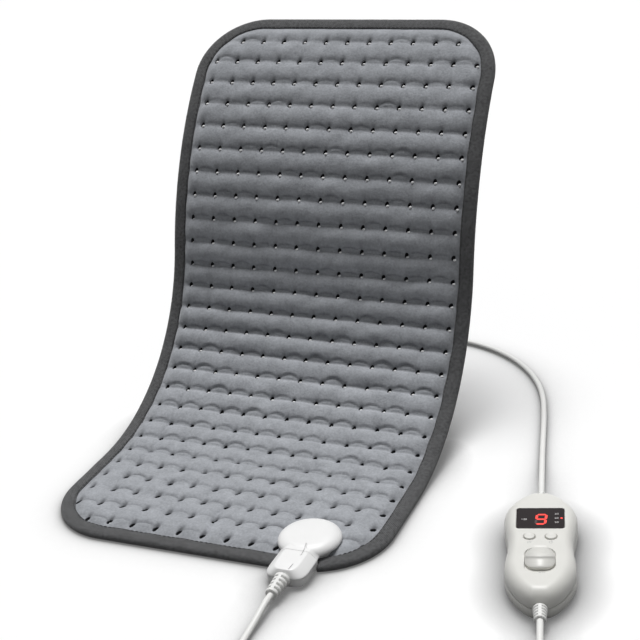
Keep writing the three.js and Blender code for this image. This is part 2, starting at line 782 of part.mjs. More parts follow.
function leadPlug() {
  const ringFor = (inset, height) => ringAt(plugOutline(inset), height);
  const rings = [
    ringFor(footChamfer, plugBottom),
    ringFor(0, plugBottom + footChamfer),
    ...roundedOver(ringFor, plugEdge, plugTop - plugEdge, plugTop),
  ];
  const tongueTip = plugRear + tongueLength;
  const tongueLow = connectorAxisHeight - tongueHeight / 2;
  const tongueHigh = tongueLow + tongueHeight;
  const tongue = box(-tongueHalfWidth, tongueHalfWidth, plugRear - 1, tongueTip, tongueLow, tongueHigh);
  const innerHalf = plugHalfWidth - plugWall - 1;
  const hollowRear = plugRear - plugWall;
  const hollowFront = plugFront + plugWall;
  const bootSeat = plugBootTip + 0.6 + clearance;
  const low = connectorAxisHeight - bootSeat;
  const high = connectorAxisHeight + bootSeat;
  const hollowStart = hollowFront + plugCornerRun * 0.6;
  const hollow = box(-innerHalf, innerHalf, hollowStart, hollowRear, low, high);
  const throat = box(-bootSeat, bootSeat, hollowFront, hollowRear, low, high);
  const bootHole = rod(plugBootTip - 1 + clearance, plugFront - 1, hollowFront + 1);
  const sleeveHoles = pinAcross.map((across) => {
    return alongAxis(rod(pinRadius + sleeveWall + 2 * clearance, hollowRear - 1, tongueTip + 1), across);
  });
  const body = joined(toSolid(loft(rings)), toSolid(tongue));
  return without(body, toSolid(hollow), toSolid(throat), alongAxis(bootHole, 0), ...sleeveHoles);
}

const plug = leadPlug();
addPiece(connector, 'plug_upper_shell', toGeometry(plug.intersect(aboveSplit)), whitePlastic);
addPiece(connector, 'plug_lower_shell', toGeometry(plug.intersect(belowSplit)), whitePlastic);
pinAcross.forEach((across, side) => {
  const inner = pinRadius + clearance;
  const outer = inner + sleeveWall;
  const from = plugRear - plugWall - 2;
  const to = plugRear + tongueLength - 1;
  const profile = [[inner, from], [outer, from], [outer, to], [inner, to], [inner, from]];
  const sleeve = turned(profile, 10).translate(across, 0, connectorAxisHeight);
  addPiece(connector, `contact_sleeve_${side === 0 ? 'left' : 'right'}`, sleeve, brass);
});
const boot = addPiece(connector, 'plug_boot', plugBoot.geometry, whiteRubber);
boot.position.set(0, plugFront, connectorAxisHeight);
boot.rotation.z = Math.PI;

// The controller's outline: an hourglass with two lobes, a waist and a narrow nose at each end.
const caseHalf = caseLength / 2;

function caseOutline() {
  const noseRun = 11;
  const noseDrop = 5;
  const lobeLead = 15;
  const waistLead = 12;
  const noseOut = caseNoseHalf + noseRun;
  const noseIn = caseHalf - noseDrop;
  const at = (x, y) => new THREE.Vector2(x, y);
  const right = new THREE.Path();
  right.curves.push(
    new THREE.CubicBezierCurve(
      at(caseNoseHalf, -caseHalf), at(noseOut, -noseIn),
      at(caseLowerHalf, caseLowerAt - lobeLead), at(caseLowerHalf, caseLowerAt),
    ),
    new THREE.CubicBezierCurve(
      at(caseLowerHalf, caseLowerAt), at(caseLowerHalf, caseLowerAt + waistLead),
      at(caseWaistHalf, caseWaistAt - waistLead), at(caseWaistHalf, caseWaistAt),
    ),
    new THREE.CubicBezierCurve(
      at(caseWaistHalf, caseWaistAt), at(caseWaistHalf, caseWaistAt + waistLead),
      at(caseUpperHalf, caseUpperAt - waistLead), at(caseUpperHalf, caseUpperAt),
    ),
    new THREE.CubicBezierCurve(
      at(caseUpperHalf, caseUpperAt), at(caseUpperHalf, caseUpperAt + lobeLead),
      at(noseOut, noseIn), at(caseNoseHalf, caseHalf),
    ),
  );
  const points = right.getPoints(5);
  const mirrored = points.toReversed().map((point) => at(-point.x, point.y));
  return [...points, ...mirrored];
}

const fullCaseOutline = caseOutline();

function caseRing(inset, height) {
  const scaleX = 1 - inset / caseUpperHalf;
  const scaleY = 1 - inset / caseHalf;
  return fullCaseOutline.map((point) => new THREE.Vector3(point.x * scaleX, point.y * scaleY, height));
}

const outerFront = toSolid(loft([
  caseRing(0, caseParting + clearance / 2),
  ...roundedOver(caseRing, caseEdgeRun, caseShoulder, caseTop, 5),
]));
const innerRing = (inset, height) => caseRing(inset + caseWall, height);
const innerFront = toSolid(loft([
  caseRing(caseWall, caseParting - 1),
  ...roundedOver(innerRing, caseEdgeRun, caseShoulder - caseWall, caseTop - caseWall, 3),
]));
const outerBack = toSolid(loft([
  ...roundedOver(caseRing, caseFootRun, caseFootRise, 0, 2).reverse(),
  caseRing(0, caseParting - clearance / 2),
]));
const innerBack = toSolid(loft([
  caseRing(caseFootRun + caseWall, caseWall),
  caseRing(caseWall, caseFootRise + caseWall),
  caseRing(caseWall, caseParting + 1),
]));

const screwAlong = caseHalf - screwFromEnd;
const screwPlaces = [
  [-screwAcross, screwAlong], [screwAcross, screwAlong],
  [-screwAcross, -screwAlong], [screwAcross, -screwAlong],
];

function pillar(radius, place, bottom, top) {
  return toSolid(upright(rod(radius, bottom, top)).translate(place[0], place[1], 0));
}

// Both shells share the round openings for the strain reliefs at the two noses.
const reliefNeck = reliefTip - 0.6;
const noseRod = rod(reliefNeck + clearance, -caseHalf - 1, caseHalf + 1);
const noseOpening = toSolid(noseRod.translate(0, 0, caseParting));

const pocketLength = sliderLength + sliderTravel + 2 * sliderClearance;
const pocketWidth = sliderWidth + 2 * sliderClearance;
const pocketAt = sliderRestAt - sliderTravel / 2;
const pocketFloor = caseTop - pocketDepth;
const buttonAcross = [-buttonSpacing / 2, buttonSpacing / 2];

function placed(outline, x, y) {
  return outline.map((point) => new THREE.Vector2(point.x + x, point.y + y));
}

function frontCase() {
  const pillars = (radius, bottom, top) => screwPlaces.map((place) => pillar(radius, place, bottom, top));
  const posts = pillars(postRadius, caseParting + clearance / 2, caseTop - caseWall / 2);
  const pilots = pillars(screwRadius + clearance, caseParting - 1, caseTop - 3 * caseWall);
  const tubWidth = pocketWidth + 2 * pocketWall;
  const tubLength = pocketLength + 2 * pocketWall;
  const tubOutline = placed(roundedRectangle(tubWidth, tubLength, sliderCorner + pocketWall), 0, pocketAt);
  const tub = toSolid(prism(tubOutline, pocketFloor - pocketWall, caseTop - caseWall / 2));
  const pocketOutline = placed(roundedRectangle(pocketWidth, pocketLength, sliderCorner), 0, pocketAt);
  const pocket = toSolid(prism(pocketOutline, pocketFloor, caseTop + 1));
  const slotHalf = stemWidth / 2 + sliderClearance;
  const slotLow = sliderRestAt - sliderTravel - slotHalf;
  const slot = toSolid(box(-slotHalf, slotHalf, slotLow, sliderRestAt + slotHalf, caseParting, caseTop));
  const seatWidth = windowWidth + 2 * clearance;
  const seatHeight = windowHeight + 2 * clearance;
  const seat = placed(roundedRectangle(seatWidth, seatHeight, windowCorner + clearance, 3), 0, windowAt);
  const windowSeat = toSolid(prism(seat, caseTop - windowThickness - clearance, caseTop + 1));
  const holeWidth = windowWidth - 2 * windowLedge;
  const holeHeight = windowHeight - 2 * windowLedge;
  const hole = placed(roundedRectangle(holeWidth, holeHeight, windowCorner, 3), 0, windowAt);
  const windowHole = toSolid(prism(hole, caseParting, caseTop + 1));
  const buttonHoles = buttonAcross.map((across) => {
    return pillar(buttonRadius + buttonClearance, [across, buttonAt], caseParting, caseTop + 1);
  });
  const shell = outerFront.subtract(innerFront);
  const inside = joined(tub, ...posts).intersect(outerFront);
  const cuts = [noseOpening, pocket, slot, windowSeat, windowHole, ...buttonHoles, ...pilots];
  return without(shell.add(inside), ...cuts);
}

const boardTop = boardHeight + boardThickness;
const boardRests = [-1, 1].flatMap((side) => [
  [side * caseWaistHalf * 0.72, caseLength * 0.086], [side * caseWaistHalf * 0.68, -caseLength * 0.157],
]);
const boardRestRadius = 2.2;

function backCase() {
  const pillars = (radius, bottom, top) => screwPlaces.map((place) => pillar(radius, place, bottom, top));
  const bosses = pillars(postRadius + clearance, caseWall / 2, caseParting - clearance / 2);
  const shanks = pillars(screwRadius + clearance, -1, caseParting + 1);
  const counterbores = pillars(screwHeadRadius + clearance, -1, screwHeadDepth + 2 * clearance);
  const rests = boardRests.map((place) => {
    return pillar(boardRestRadius, place, caseWall / 2, boardHeight - clearance);
  });
  const shell = outerBack.subtract(innerBack);
  const inside = joined(...bosses).intersect(outerBack);
  return without(joined(shell, inside, ...rests), noseOpening, ...shanks, ...counterbores);
}

addPiece(controller, 'front_case', toGeometry(frontCase()), whitePlastic);
addPiece(controller, 'back_case', toGeometry(backCase()), whitePlastic);

const windowOutline = placed(roundedRectangle(windowWidth, windowHeight, windowCorner, 3), 0, windowAt);
addPiece(controller, 'display_window', prism(windowOutline, caseTop - windowThickness, caseTop), darkGlass);

// The circuit board follows the case's outline and clears the screw posts.
function circuitBoard() {
  const outline = caseRing(boardMargin, 0);
  const end = caseHalf - boardEnd;
  const square = toSolid(box(-caseUpperHalf, caseUpperHalf, -end, end, boardHeight, boardTop));
  const blank = toSolid(prism(outline, boardHeight, boardTop)).intersect(square);
  const notches = screwPlaces.map((place) => pillar(postRadius + clearance, place, 0, caseTop));
  return without(blank, ...notches);
}

addPiece(controller, 'circuit_board', toGeometry(circuitBoard()), boardGreen);

const onBoard = boardTop + clearance;
const underBoard = boardHeight - clearance;
const windowUnderside = caseTop - windowThickness - clearance;
const digitOutline = placed(roundedRectangle(digitWidth, digitHeight, 0.8, 2), 0, windowAt);
addPiece(controller, 'digit_display', prism(digitOutline, onBoard, windowUnderside), blackPlastic);
const lampPlaces = [[1, 0.3], [1, 0], [1, -0.3], [-1, 0]];
lampPlaces.forEach(([side, share], lamp) => {
  const shoulder = windowUnderside - lampRadius;
  const profile = [
    [0, onBoard], [lampRadius, onBoard], [lampRadius, shoulder],
    [lampRadius * 0.6, windowUnderside - lampRadius * 0.2], [0, windowUnderside],
  ];
  const along = windowAt + share * windowHeight;
  const piece = upright(turned(profile, 10)).translate(side * lampAcross, along, 0);
  addPiece(controller, `timer_lamp_${lamp + 1}`, piece, redLamp);
});

// Push buttons: a dished cap, a flange that keeps it in the case, and a stem over its tact switch.
const stemFoot = onBoard + tactHeight + clearance + buttonTravel;

function pushButton() {
  const top = caseTop + buttonProud;
  const flangeTop = caseTop - caseWall - clearance;
  const flangeBottom = flangeTop - buttonFlange;
  const flangeRadius = buttonRadius + buttonClearance + buttonFlange;
  const profile = [
    [0, stemFoot], [buttonStem, stemFoot], [buttonStem, flangeBottom], [flangeRadius, flangeBottom],
    [flangeRadius, flangeTop], [buttonRadius, flangeTop], [buttonRadius, top - buttonEdge],
    [buttonRadius - buttonEdge, top], [buttonRadius * 0.55, top - buttonDish * 0.7], [0, top - buttonDish],
  ];
  return upright(turned(profile, 14));
}

function tactSwitch() {
  const half = tactWidth / 2;
  const body = toSolid(box(-half, half, -half, half, onBoard, onBoard + tactHeight - tactPlunger));
  return toGeometry(body.add(pillar(tactPlunger * 1.7, [0, 0], onBoard + 1, onBoard + tactHeight)));
}

['heat', 'timer'].forEach((use, side) => {
  const across = buttonAcross[side];
  addPiece(controller, `${use}_button`, pushButton().translate(across, buttonAt, 0), whitePlastic);
  addPiece(controller, `${use}_tact_switch`, tactSwitch().translate(across, buttonAt, 0), blackPlastic);
});

// The slide switch: a knob with a cross ridge between two scoops, its stem, and the switch body below.
const switchTop = onBoard + switchHeight;

function powerSlider() {
  const low = pocketFloor + clearance;
  const rim = caseTop + sliderRim;
  const scoop = rim - sliderScoop;
  const ridgeTop = caseTop + sliderProud;
  const ridgeFoot = sliderRidge / 2 + 0.5;
  const half = sliderLength / 2;
  const side = new THREE.Shape();
  side.moveTo(-half, low);
  side.lineTo(half, low);
  side.lineTo(half, rim);
  side.quadraticCurveTo(half / 2, scoop, ridgeFoot, rim);
  side.lineTo(sliderRidge / 2, ridgeTop);
  side.lineTo(-sliderRidge / 2, ridgeTop);
  side.lineTo(-ridgeFoot, rim);
  side.quadraticCurveTo(-half / 2, scoop, -half, rim);
  const depth = sliderWidth + 2;
  const bar = new THREE.ExtrudeGeometry(side, { depth, bevelEnabled: false, curveSegments: 5 });
  bar.translate(0, 0, -depth / 2);
  bar.applyMatrix4(sideOn);
  const outline = roundedRectangle(sliderWidth, sliderLength, sliderCorner);
  const knob = toSolid(bar).intersect(toSolid(prism(outline, low - 1, ridgeTop + 1)));
  const stemHalf = stemWidth / 2;
  const foot = switchTop + clearance;
  const stem = toSolid(box(-stemHalf, stemHalf, -stemHalf, stemHalf, foot, low + 1));
  return toGeometry(knob.add(stem)).translate(0, sliderRestAt, 0);
}

addPiece(controller, 'power_slider', powerSlider(), whitePlastic);
const switchBody = placed(roundedRectangle(switchWidth, switchLength, 0.8, 2), 0, pocketAt);
addPiece(controller, 'slide_switch', prism(switchBody, onBoard, switchTop), steel);

// Power parts hang under the board, and the control chip lies on top of it.
const triacBlock = roundedRectangle(triacWidth, triacLength, 0.8, 2);
const triacOutline = placed(triacBlock, triacWidth * 0.9, caseLowerAt - triacLength * 0.6);
addPiece(controller, 'triac', prism(triacOutline, underBoard - triacHeight, underBoard), blackPlastic);
const filmBlock = roundedRectangle(filmWidth, filmLength, filmWidth * 0.28, 3);
const filmOutline = placed(filmBlock, -filmWidth * 1.3, caseUpperAt);
addPiece(controller, 'film_capacitor', prism(filmOutline, underBoard - filmHeight, underBoard), amberFilm);
const fuseTube = rod(fuseRadius, -fuseLength / 2, fuseLength / 2);
fuseTube.translate(fuseRadius * 3, caseUpperAt, underBoard - fuseRadius);
addPiece(controller, 'mains_fuse', fuseTube, steel);
const chipOutline = placed(roundedRectangle(chipWidth, chipLength, 0.5, 2), 0, (buttonAt + pocketAt) / 2 + 3);
addPiece(controller, 'control_chip', prism(chipOutline, onBoard, onBoard + chipHeight), blackPlastic);

screwPlaces.forEach(([across, along], screw) => {
  const headBottom = clearance;
  const shoulder = headBottom + screwHeadDepth;
  const tip = caseTop - 4 * caseWall;
  const profile = [
    [0, headBottom], [screwHeadRadius, headBottom], [screwHeadRadius, shoulder],
    [screwRadius, shoulder], [screwRadius, tip - 1], [0, tip],
  ];
  const piece = upright(turned(profile, 10)).translate(across, along, 0);
  addPiece(controller, `case_screw_${screw + 1}`, piece, steel);
});

// Strain reliefs sit in the noses between the two shells.
const relief = ribbedBoot({
  flange: reliefTip + 0.3, flangeLength: 1.6, neck: reliefNeck, neckLength: caseWall + 3 * clearance,
  base: reliefBase, tip: reliefTip, length: reliefLength, ribs: 5,
});
const upperRelief = addPiece(controller, 'mains_relief', relief.geometry, whiteRubber);
upperRelief.position.set(0, caseHalf, caseParting);
const lowerRelief = addPiece(controller, 'lead_relief', relief.geometry.clone(), whiteRubber);
lowerRelief.position.set(0, -caseHalf, caseParting);
lowerRelief.rotation.z = Math.PI;

// Cords: routes measured from the middle of the pad's front edge.
// Each end starts at the piece that it leaves, runs straight out of it and sinks to the floor.
const cordRadius = cordDiameter / 2;
const cordLies = cordRadius + 0.05;

function atController(along, height = caseParting) {
  const x = controllerX - along * Math.sin(controllerTurn);
  const y = controllerY + along * Math.cos(controllerTurn);
  return new THREE.Vector3(x, y, height);
}

function leavingController(end, sink) {
  return sink.map(([distance, drop]) => atController(end + Math.sign(end) * distance, caseParting - drop));
}

function plainCord(points) {
  const section = new THREE.Shape();
  section.absarc(0, 0, cordRadius, 0, 2 * Math.PI);
  const path = new THREE.CatmullRomCurve3(points);
  const steps = Math.min(Math.round(path.getLength() / (2.6 * cordDiameter)), 40);
  const cord = new THREE.ExtrudeGeometry(section, { steps, curveSegments: 4, extrudePath: path });
  return { cord, length: path.getLength() };
}

function route(points) {
  return points.map(([x, y, z = cordLies]) => new THREE.Vector3(x, y, z));
}

const bootEnd = headFromFront + plugFront - plugBoot.end - clearance;
const reliefEnd = caseHalf + relief.end + clearance;
const cordSink = [[0, 0], [8, 0.1], [18, 0.9], [31, 2.9], [46, 5.3], [61, 6.8]];
const leadSink = [[0, 0], [7, 0.1], [16.5, 1.3], [28.5, 3.4], [42.5, 5.1]];
const lead = plainCord([
  ...route(leadSink.map(([distance, drop]) => [headX, bootEnd - distance, connectorAxisHeight - drop])),
  ...route([
    [93, -107], [95, -129], [101, -157], [116, -187], [139, -212], [168, -227], [200, -232],
    [232, -227], [261, -212], [285, -188], [302, -159], [310, -130], [312, -105],
  ]),
  ...leavingController(-reliefEnd, cordSink).toReversed(),
]);
addPiece(heatingPad, 'pad_lead', lead.cord, whiteRubber);

// The coil: one tube that winds in, climbs in the half turn where it reverses, and winds out on top.
const coilBottom = tieThickness + tieClearance + cordRadius;
const coilOuterRadius = coilInnerRadius + coilTurnsPerLayer * coilPitch;
const coilTurns = 2 * coilTurnsPerLayer + 0.5;

function coilPoint(turn) {
  const inward = Math.min(turn, coilTurnsPerLayer);
  const outward = Math.max(turn - coilTurnsPerLayer - 0.5, 0);
  const reversed = THREE.MathUtils.clamp(2 * (turn - coilTurnsPerLayer), 0, 1);
  const dip = coilReverseDip * Math.sin(Math.PI * reversed) ** 2;
  const radius = coilOuterRadius - coilPitch * (inward - outward) - dip;
  const climb = THREE.MathUtils.smoothstep(reversed, 0, 1);
  const angle = (0.25 + turn) * 2 * Math.PI;
  const height = coilBottom + coilPitch * climb;
  return new THREE.Vector3(coilX + radius * Math.cos(angle), coilY + radius * Math.sin(angle), height);
}

function coilPath(stepsPerTurn) {
  const count = Math.round(coilTurns * stepsPerTurn);
  const turns = Array.from({ length: count + 1 }, (_, step) => coilPoint(step / stepsPerTurn));
  const entry = turns[0].clone().add(new THREE.Vector3(cordDiameter, 0, 0));
  const exit = turns.at(-1).clone().add(new THREE.Vector3(-cordDiameter, 0, 0));
  return [entry, ...turns, exit];
}

function leastSelfGap(points, spacing) {
  const skip = Math.ceil(4 * cordDiameter / spacing);
  let least = Infinity;
  points.forEach((point, step) => {
    for (const other of points.slice(step + skip)) least = Math.min(least, point.distanceTo(other));
  });
  return least - cordDiameter;
}

const coilStepsPerTurn = 24;
const coilLine = coilPath(coilStepsPerTurn);
const finePerTurn = 96;
const coilGap = leastSelfGap(coilPath(finePerTurn), 2 * Math.PI * coilInnerRadius / finePerTurn);
console.log(`mains coil: least gap between turns ${coilGap.toFixed(2)} mm`);
addPiece(heatingPad, 'mains_coil', tubeThrough(coilLine, cordRadius, 6), whiteRubber);

const coilEntry = coilLine[0].clone().add(new THREE.Vector3(clearance, 0, 0));
const mains = plainCord([
  ...leavingController(reliefEnd, cordSink),
  ...route([
    [228.5, 231], [221, 262], [213, 293], [203.5, 323], [190, 351], [171.5, 376], [148, 397], [120, 412.5],
    [88, 421.5], [60, 424.5, 2.8], [38, 424.9, 3.3],
  ]),
  coilEntry,
]);
addPiece(heatingPad, 'mains_cord', mains.cord, whiteRubber);

// The tie goes round the bundle of turns on the side towards the pad.
function coilTie() {
  const inside = coilInnerRadius - coilReverseDip - cordRadius - tieClearance * 2;
  const outside = coilOuterRadius - coilPitch / 2 + cordRadius + tieClearance * 2;
  const top = coilBottom + coilPitch + cordRadius + tieClearance;
  const middle = -(inside + outside) / 2;
  const outer = roundedRectangle(outside - inside + 2 * tieThickness, top + tieThickness, 3, 3);
  const inner = roundedRectangle(outside - inside, top - tieThickness, 2.4, 3);
  const strap = new THREE.Shape(outer);
  strap.holes.push(new THREE.Path(inner.toReversed()));
  const band = new THREE.ExtrudeGeometry(strap, { depth: tieWidth, bevelEnabled: false });
  band.translate(0, 0, -tieWidth / 2);
  band.applyMatrix4(sideOn);
  return band.translate(coilX, coilY + middle, (top + tieThickness) / 2);
}

addPiece(heatingPad, 'coil_tie', coilTie(), blackPlastic);

// The mains plug lies flat beside the coil, its blades pointing away from it.
const mainsPlug = new THREE.Group();
const coilExit = coilLine.at(-1);
const mainsPlugHeight = mainsPlugThickness / 2 + 0.05;
mainsPlug.position.set(mainsPlugX, coilExit.y, mainsPlugHeight);
mainsPlug.rotation.z = Math.PI / 2;
heatingPad.add(mainsPlug);

const mainsBoot = ribbedBoot({
  flange: mainsPlugBootBase, flangeLength: 0.5, neck: mainsPlugBootTip, neckLength: clearance,
  base: mainsPlugBootBase, tip: mainsPlugBootTip, length: mainsPlugBootLength, ribs: 5,
});
const plugFace = mainsBoot.end + 2 * clearance + 0.5 + mainsPlugLength;
const plugBack = plugFace - mainsPlugLength;
const mainsBootPiece = addPiece(mainsPlug, 'mains_plug_boot', mainsBoot.geometry, whiteRubber);
mainsBootPiece.position.y = mainsBoot.end;
mainsBootPiece.rotation.z = Math.PI;

function mainsPlugBody() {
  const sections = [
    [0, 0.5, 0.72], [0.12, 0.6, 0.8], [0.4, 0.84, 0.95], [0.62, 1, 1], [0.94, 1, 1], [1, 0.94, 0.92],
  ];
  const corner = mainsPlugThickness * 0.3;
  const rings = sections.map(([share, wide, thick]) => {
    const outline = roundedRectangle(mainsPlugWidth * wide, mainsPlugThickness * thick, corner, 3);
    return ringAt(outline, plugBack + share * mainsPlugLength);
  });
  const body = loft(rings).applyMatrix4(new THREE.Matrix4().makeBasis(
    new THREE.Vector3(1, 0, 0), new THREE.Vector3(0, 0, -1), new THREE.Vector3(0, 1, 0),
  ));
  const slots = [-1, 1].map((side) => {
    const middle = side * bladeSpacing / 2;
    const halfThick = bladeThickness / 2 + clearance;
    const halfWide = bladeWidth / 2 + clearance;
    const root = plugFace - bladeRoot;
    return toSolid(box(middle - halfThick, middle + halfThick, root, plugFace + 1, -halfWide, halfWide));
  });
  return without(toSolid(body), ...slots);
}

addPiece(mainsPlug, 'mains_plug_body', toGeometry(mainsPlugBody()), whiteRubber);
[-1, 1].forEach((side) => {
  const tipCut = bladeWidth * 0.25;
  const outline = new THREE.Shape();
  const from = plugFace - bladeRoot + clearance;
  const to = plugFace + bladeLength;
  outline.moveTo(-bladeWidth / 2, from);
  outline.lineTo(bladeWidth / 2, from);
  outline.lineTo(bladeWidth / 2, to - tipCut);
  outline.lineTo(bladeWidth / 2 - tipCut, to);
  outline.lineTo(-bladeWidth / 2 + tipCut, to);
  outline.lineTo(-bladeWidth / 2, to - tipCut);
  const hole = new THREE.Path();
  hole.absarc(0, to - bladeWidth * 0.6, bladeWidth * 0.24, 0, 2 * Math.PI, true);
  outline.holes.push(hole);
  const depth = bladeThickness;
  const blade = new THREE.ExtrudeGeometry(outline, { depth, bevelEnabled: false, curveSegments: 4 });
  blade.translate(0, 0, -depth / 2).rotateY(Math.PI / 2).translate(side * bladeSpacing / 2, 0, 0);
  addPiece(mainsPlug, `plug_blade_${side < 0 ? 'left' : 'right'}`, blade, brass);
});

const tail = plainCord([
  coilExit.clone().add(new THREE.Vector3(-clearance, 0, 0)),
  coilExit.clone().add(new THREE.Vector3(-cordDiameter, 0, -0.1)),
  new THREE.Vector3(mainsPlugX + cordDiameter, coilExit.y, mainsPlugHeight + 0.1),
  new THREE.Vector3(mainsPlugX + clearance, coilExit.y, mainsPlugHeight),
]);
addPiece(heatingPad, 'mains_tail', tail.cord, whiteRubber);

const coilSteps = coilLine.slice(1).map((point, step) => point.distanceTo(coilLine[step]));
const coilLength = coilSteps.reduce((sum, step) => sum + step);
const mainsLength = mains.length + coilLength + tail.length;
console.log(`pad lead ${lead.length.toFixed(0)} mm, mains cord ${mainsLength.toFixed(0)} mm`);

export default heatingPad;
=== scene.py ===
# A heating pad set up for its picture. The tufted pad stands bent into a seat and a back, with its plug in
# the head at the front edge. The hand controller lies beside it, and the mains cord is wound up behind it.
import math

import bpy
import numpy as np
from mathutils import Matrix, Vector


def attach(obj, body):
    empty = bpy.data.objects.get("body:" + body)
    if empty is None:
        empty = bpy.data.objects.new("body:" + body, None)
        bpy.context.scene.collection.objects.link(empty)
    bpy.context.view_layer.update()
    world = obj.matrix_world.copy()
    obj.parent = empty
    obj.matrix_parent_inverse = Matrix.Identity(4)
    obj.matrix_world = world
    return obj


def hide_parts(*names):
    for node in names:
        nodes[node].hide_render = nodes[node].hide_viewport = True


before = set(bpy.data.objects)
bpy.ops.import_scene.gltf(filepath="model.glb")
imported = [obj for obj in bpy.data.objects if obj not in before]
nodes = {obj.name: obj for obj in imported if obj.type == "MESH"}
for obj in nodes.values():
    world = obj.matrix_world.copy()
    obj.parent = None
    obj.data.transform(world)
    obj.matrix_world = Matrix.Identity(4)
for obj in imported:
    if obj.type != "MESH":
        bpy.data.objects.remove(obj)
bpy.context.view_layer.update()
stage = bpy.context.scene


def placed(name, data):
    """A new object in the scene, around its mesh, curve, light or camera."""
    made = bpy.data.objects.new(name, data)
    stage.collection.objects.link(made)
    return made


# The camera looks down on the pad from its right front corner, turned a little about its own axis. Its lens
# is long, so the back of the pad hardly narrows towards the top.
azimuth, elevation, roll = math.radians(25.4), math.radians(24.3), math.radians(-5.9)
looked_at, camera_distance = (0.065, 0.090, 0.147), 1.203
camera = placed("camera", bpy.data.cameras.new("camera"))
camera.data.sensor_width = 36
camera.data.lens = 81.34
aimed = Matrix.Rotation(azimuth, 4, "Z") @ Matrix.Rotation(math.pi / 2 - elevation, 4, "X")
aimed = Matrix.Translation(looked_at) @ aimed @ Matrix.Rotation(roll, 4, "Z")
camera.matrix_world = aimed @ Matrix.Translation((0, 0, camera_distance))
stage.camera = camera
stage.view_settings.view_transform = "Standard"


def fitted(material, node, **values):
    """Sets or links a shader node's inputs: an underscore is a space, and in1 is the socket numbered 1."""
    for name, value in values.items():
        if name[:2] == "in" and name[2:].isdigit():
            name = int(name[2:])
        elif not name.islower():
            name = name.replace("_", " ")
        if isinstance(value, bpy.types.NodeSocket):
            material.node_tree.links.new(value, node.inputs[name])
        elif isinstance(name, int) or name in node.inputs:
            node.inputs[name].default_value = value
        else:
            setattr(node, name, value)
    return node


def wired(material, kind, **values):
    return fitted(material, material.node_tree.nodes.new("ShaderNode" + kind), **values)


def reckoned(material, operation, first, second, third=0.5):
    return wired(material, "Math", operation=operation, in0=first, in1=second, in2=third).outputs[0]


def spread(material, share, low=0.0, high=1.0, **span):
    """A value from low to high, by a share from 0 to 1 or from another span."""
    return wired(material, "MapRange", Value=share, To_Min=low, To_Max=high, **span).outputs[0]


def seen_directly(material):
    rays = wired(material, "LightPath").outputs
    seen = reckoned(material, "MAXIMUM", rays["Is Camera Ray"], rays["Is Glossy Ray"])
    return reckoned(material, "MAXIMUM", seen, rays["Is Transmission Ray"])


# A white studio: one very wide soft light from above and a little behind, and a pale floor. The floor keeps
# the shadow, and a painted shadow from an occlusion term darkens its colour close to what stands on it.
# Seen straight, in a reflection or through glass, the room is white.
room = bpy.data.worlds.new("white_room")
room.use_nodes = True
room_strength = spread(room, seen_directly(room), 0.15, 1.0)
fitted(room, room.node_tree.nodes["Background"], Color=(1, 1, 1, 1), Strength=room_strength)
stage.world = room

soft_light = placed("soft_light", bpy.data.lights.new("soft_light", "SUN"))
soft_light.data.energy = 2.95
soft_light.data.angle = math.radians(30)
soft_light.rotation_euler = Vector((-0.1, 0.27, 1)).to_track_quat("Z", "Y").to_euler()


def meshed(name, points, faces):
    """A new piece in the scene from points in metres and the corners of each face."""
    mesh = bpy.data.meshes.new(name)
    mesh.from_pydata(points, [], faces)
    return placed(name, mesh)


floor_half = 9
floor_corners = [(x * floor_half, y * floor_half, 0) for x, y in ((-1, -1), (1, -1), (1, 1), (-1, 1))]
floor = meshed("floor", floor_corners, [(0, 1, 2, 3)])


def surface(name):
    material = bpy.data.materials.new(name)
    material.use_nodes = True
    return material


painted_shadow_power, floor_glow = 2.6, 0.165
paper = surface("white_paper")
paper_view = seen_directly(paper)
paper_tone = spread(paper, paper_view, 0.3, 0.8)
# Painted shadow: an occlusion term darkens the floor's colour close to what stands on it.
paper_open = wired(paper, "AmbientOcclusion", samples=12, Distance=0.03).outputs["AO"]
paper_painted_shadow = reckoned(paper, "POWER", paper_open, painted_shadow_power)
paper_matt = wired(paper, "BsdfDiffuse", Color=reckoned(paper, "MULTIPLY", paper_tone, paper_painted_shadow))
paper_lift = reckoned(paper, "MULTIPLY", paper_view, floor_glow)
paper_glow = wired(paper, "Emission", Color=(1, 1, 1, 1), Strength=paper_lift)
paper_both = wired(paper, "AddShader", in0=paper_matt.outputs[0], in1=paper_glow.outputs[0])
fitted(paper, paper.node_tree.nodes["Material Output"], Surface=paper_both.outputs[0])
floor.data.materials.append(paper)

# The cords are round flex in white vinyl, 5.2 mm thick, with a faint mottle and a fine grain. The lead runs
# from the plug's boot to the controller's lower end, in one loop on the floor in front.
mm = 0.001
front_edge = -60
flex_thickness = 5.2


def place_on(material):
    return wired(material, "TexCoord").outputs["Object"]


def noise(material, scale, detail, roughness=0.5):
    values = {"Scale": scale, "Detail": detail, "Roughness": roughness}
    return wired(material, "TexNoise", Vector=place_on(material), **values).outputs["Fac"]


def blend(material, share, first, second):
    """A colour from the first to the second, by a share. Each is a plain colour or another node's."""
    first, second = (c if isinstance(c, bpy.types.NodeSocket) else (*c, 1) for c in (first, second))
    return wired(material, "Mix", data_type="RGBA", Factor=share, in6=first, in7=second).outputs[2]


def relief(material, height, strength, distance, **normal):
    return wired(material, "Bump", Height=height, Strength=strength, Distance=distance, **normal).outputs[0]


def coated(material, **values):
    fitted(material, material.node_tree.nodes["Principled BSDF"], **values)
    return material


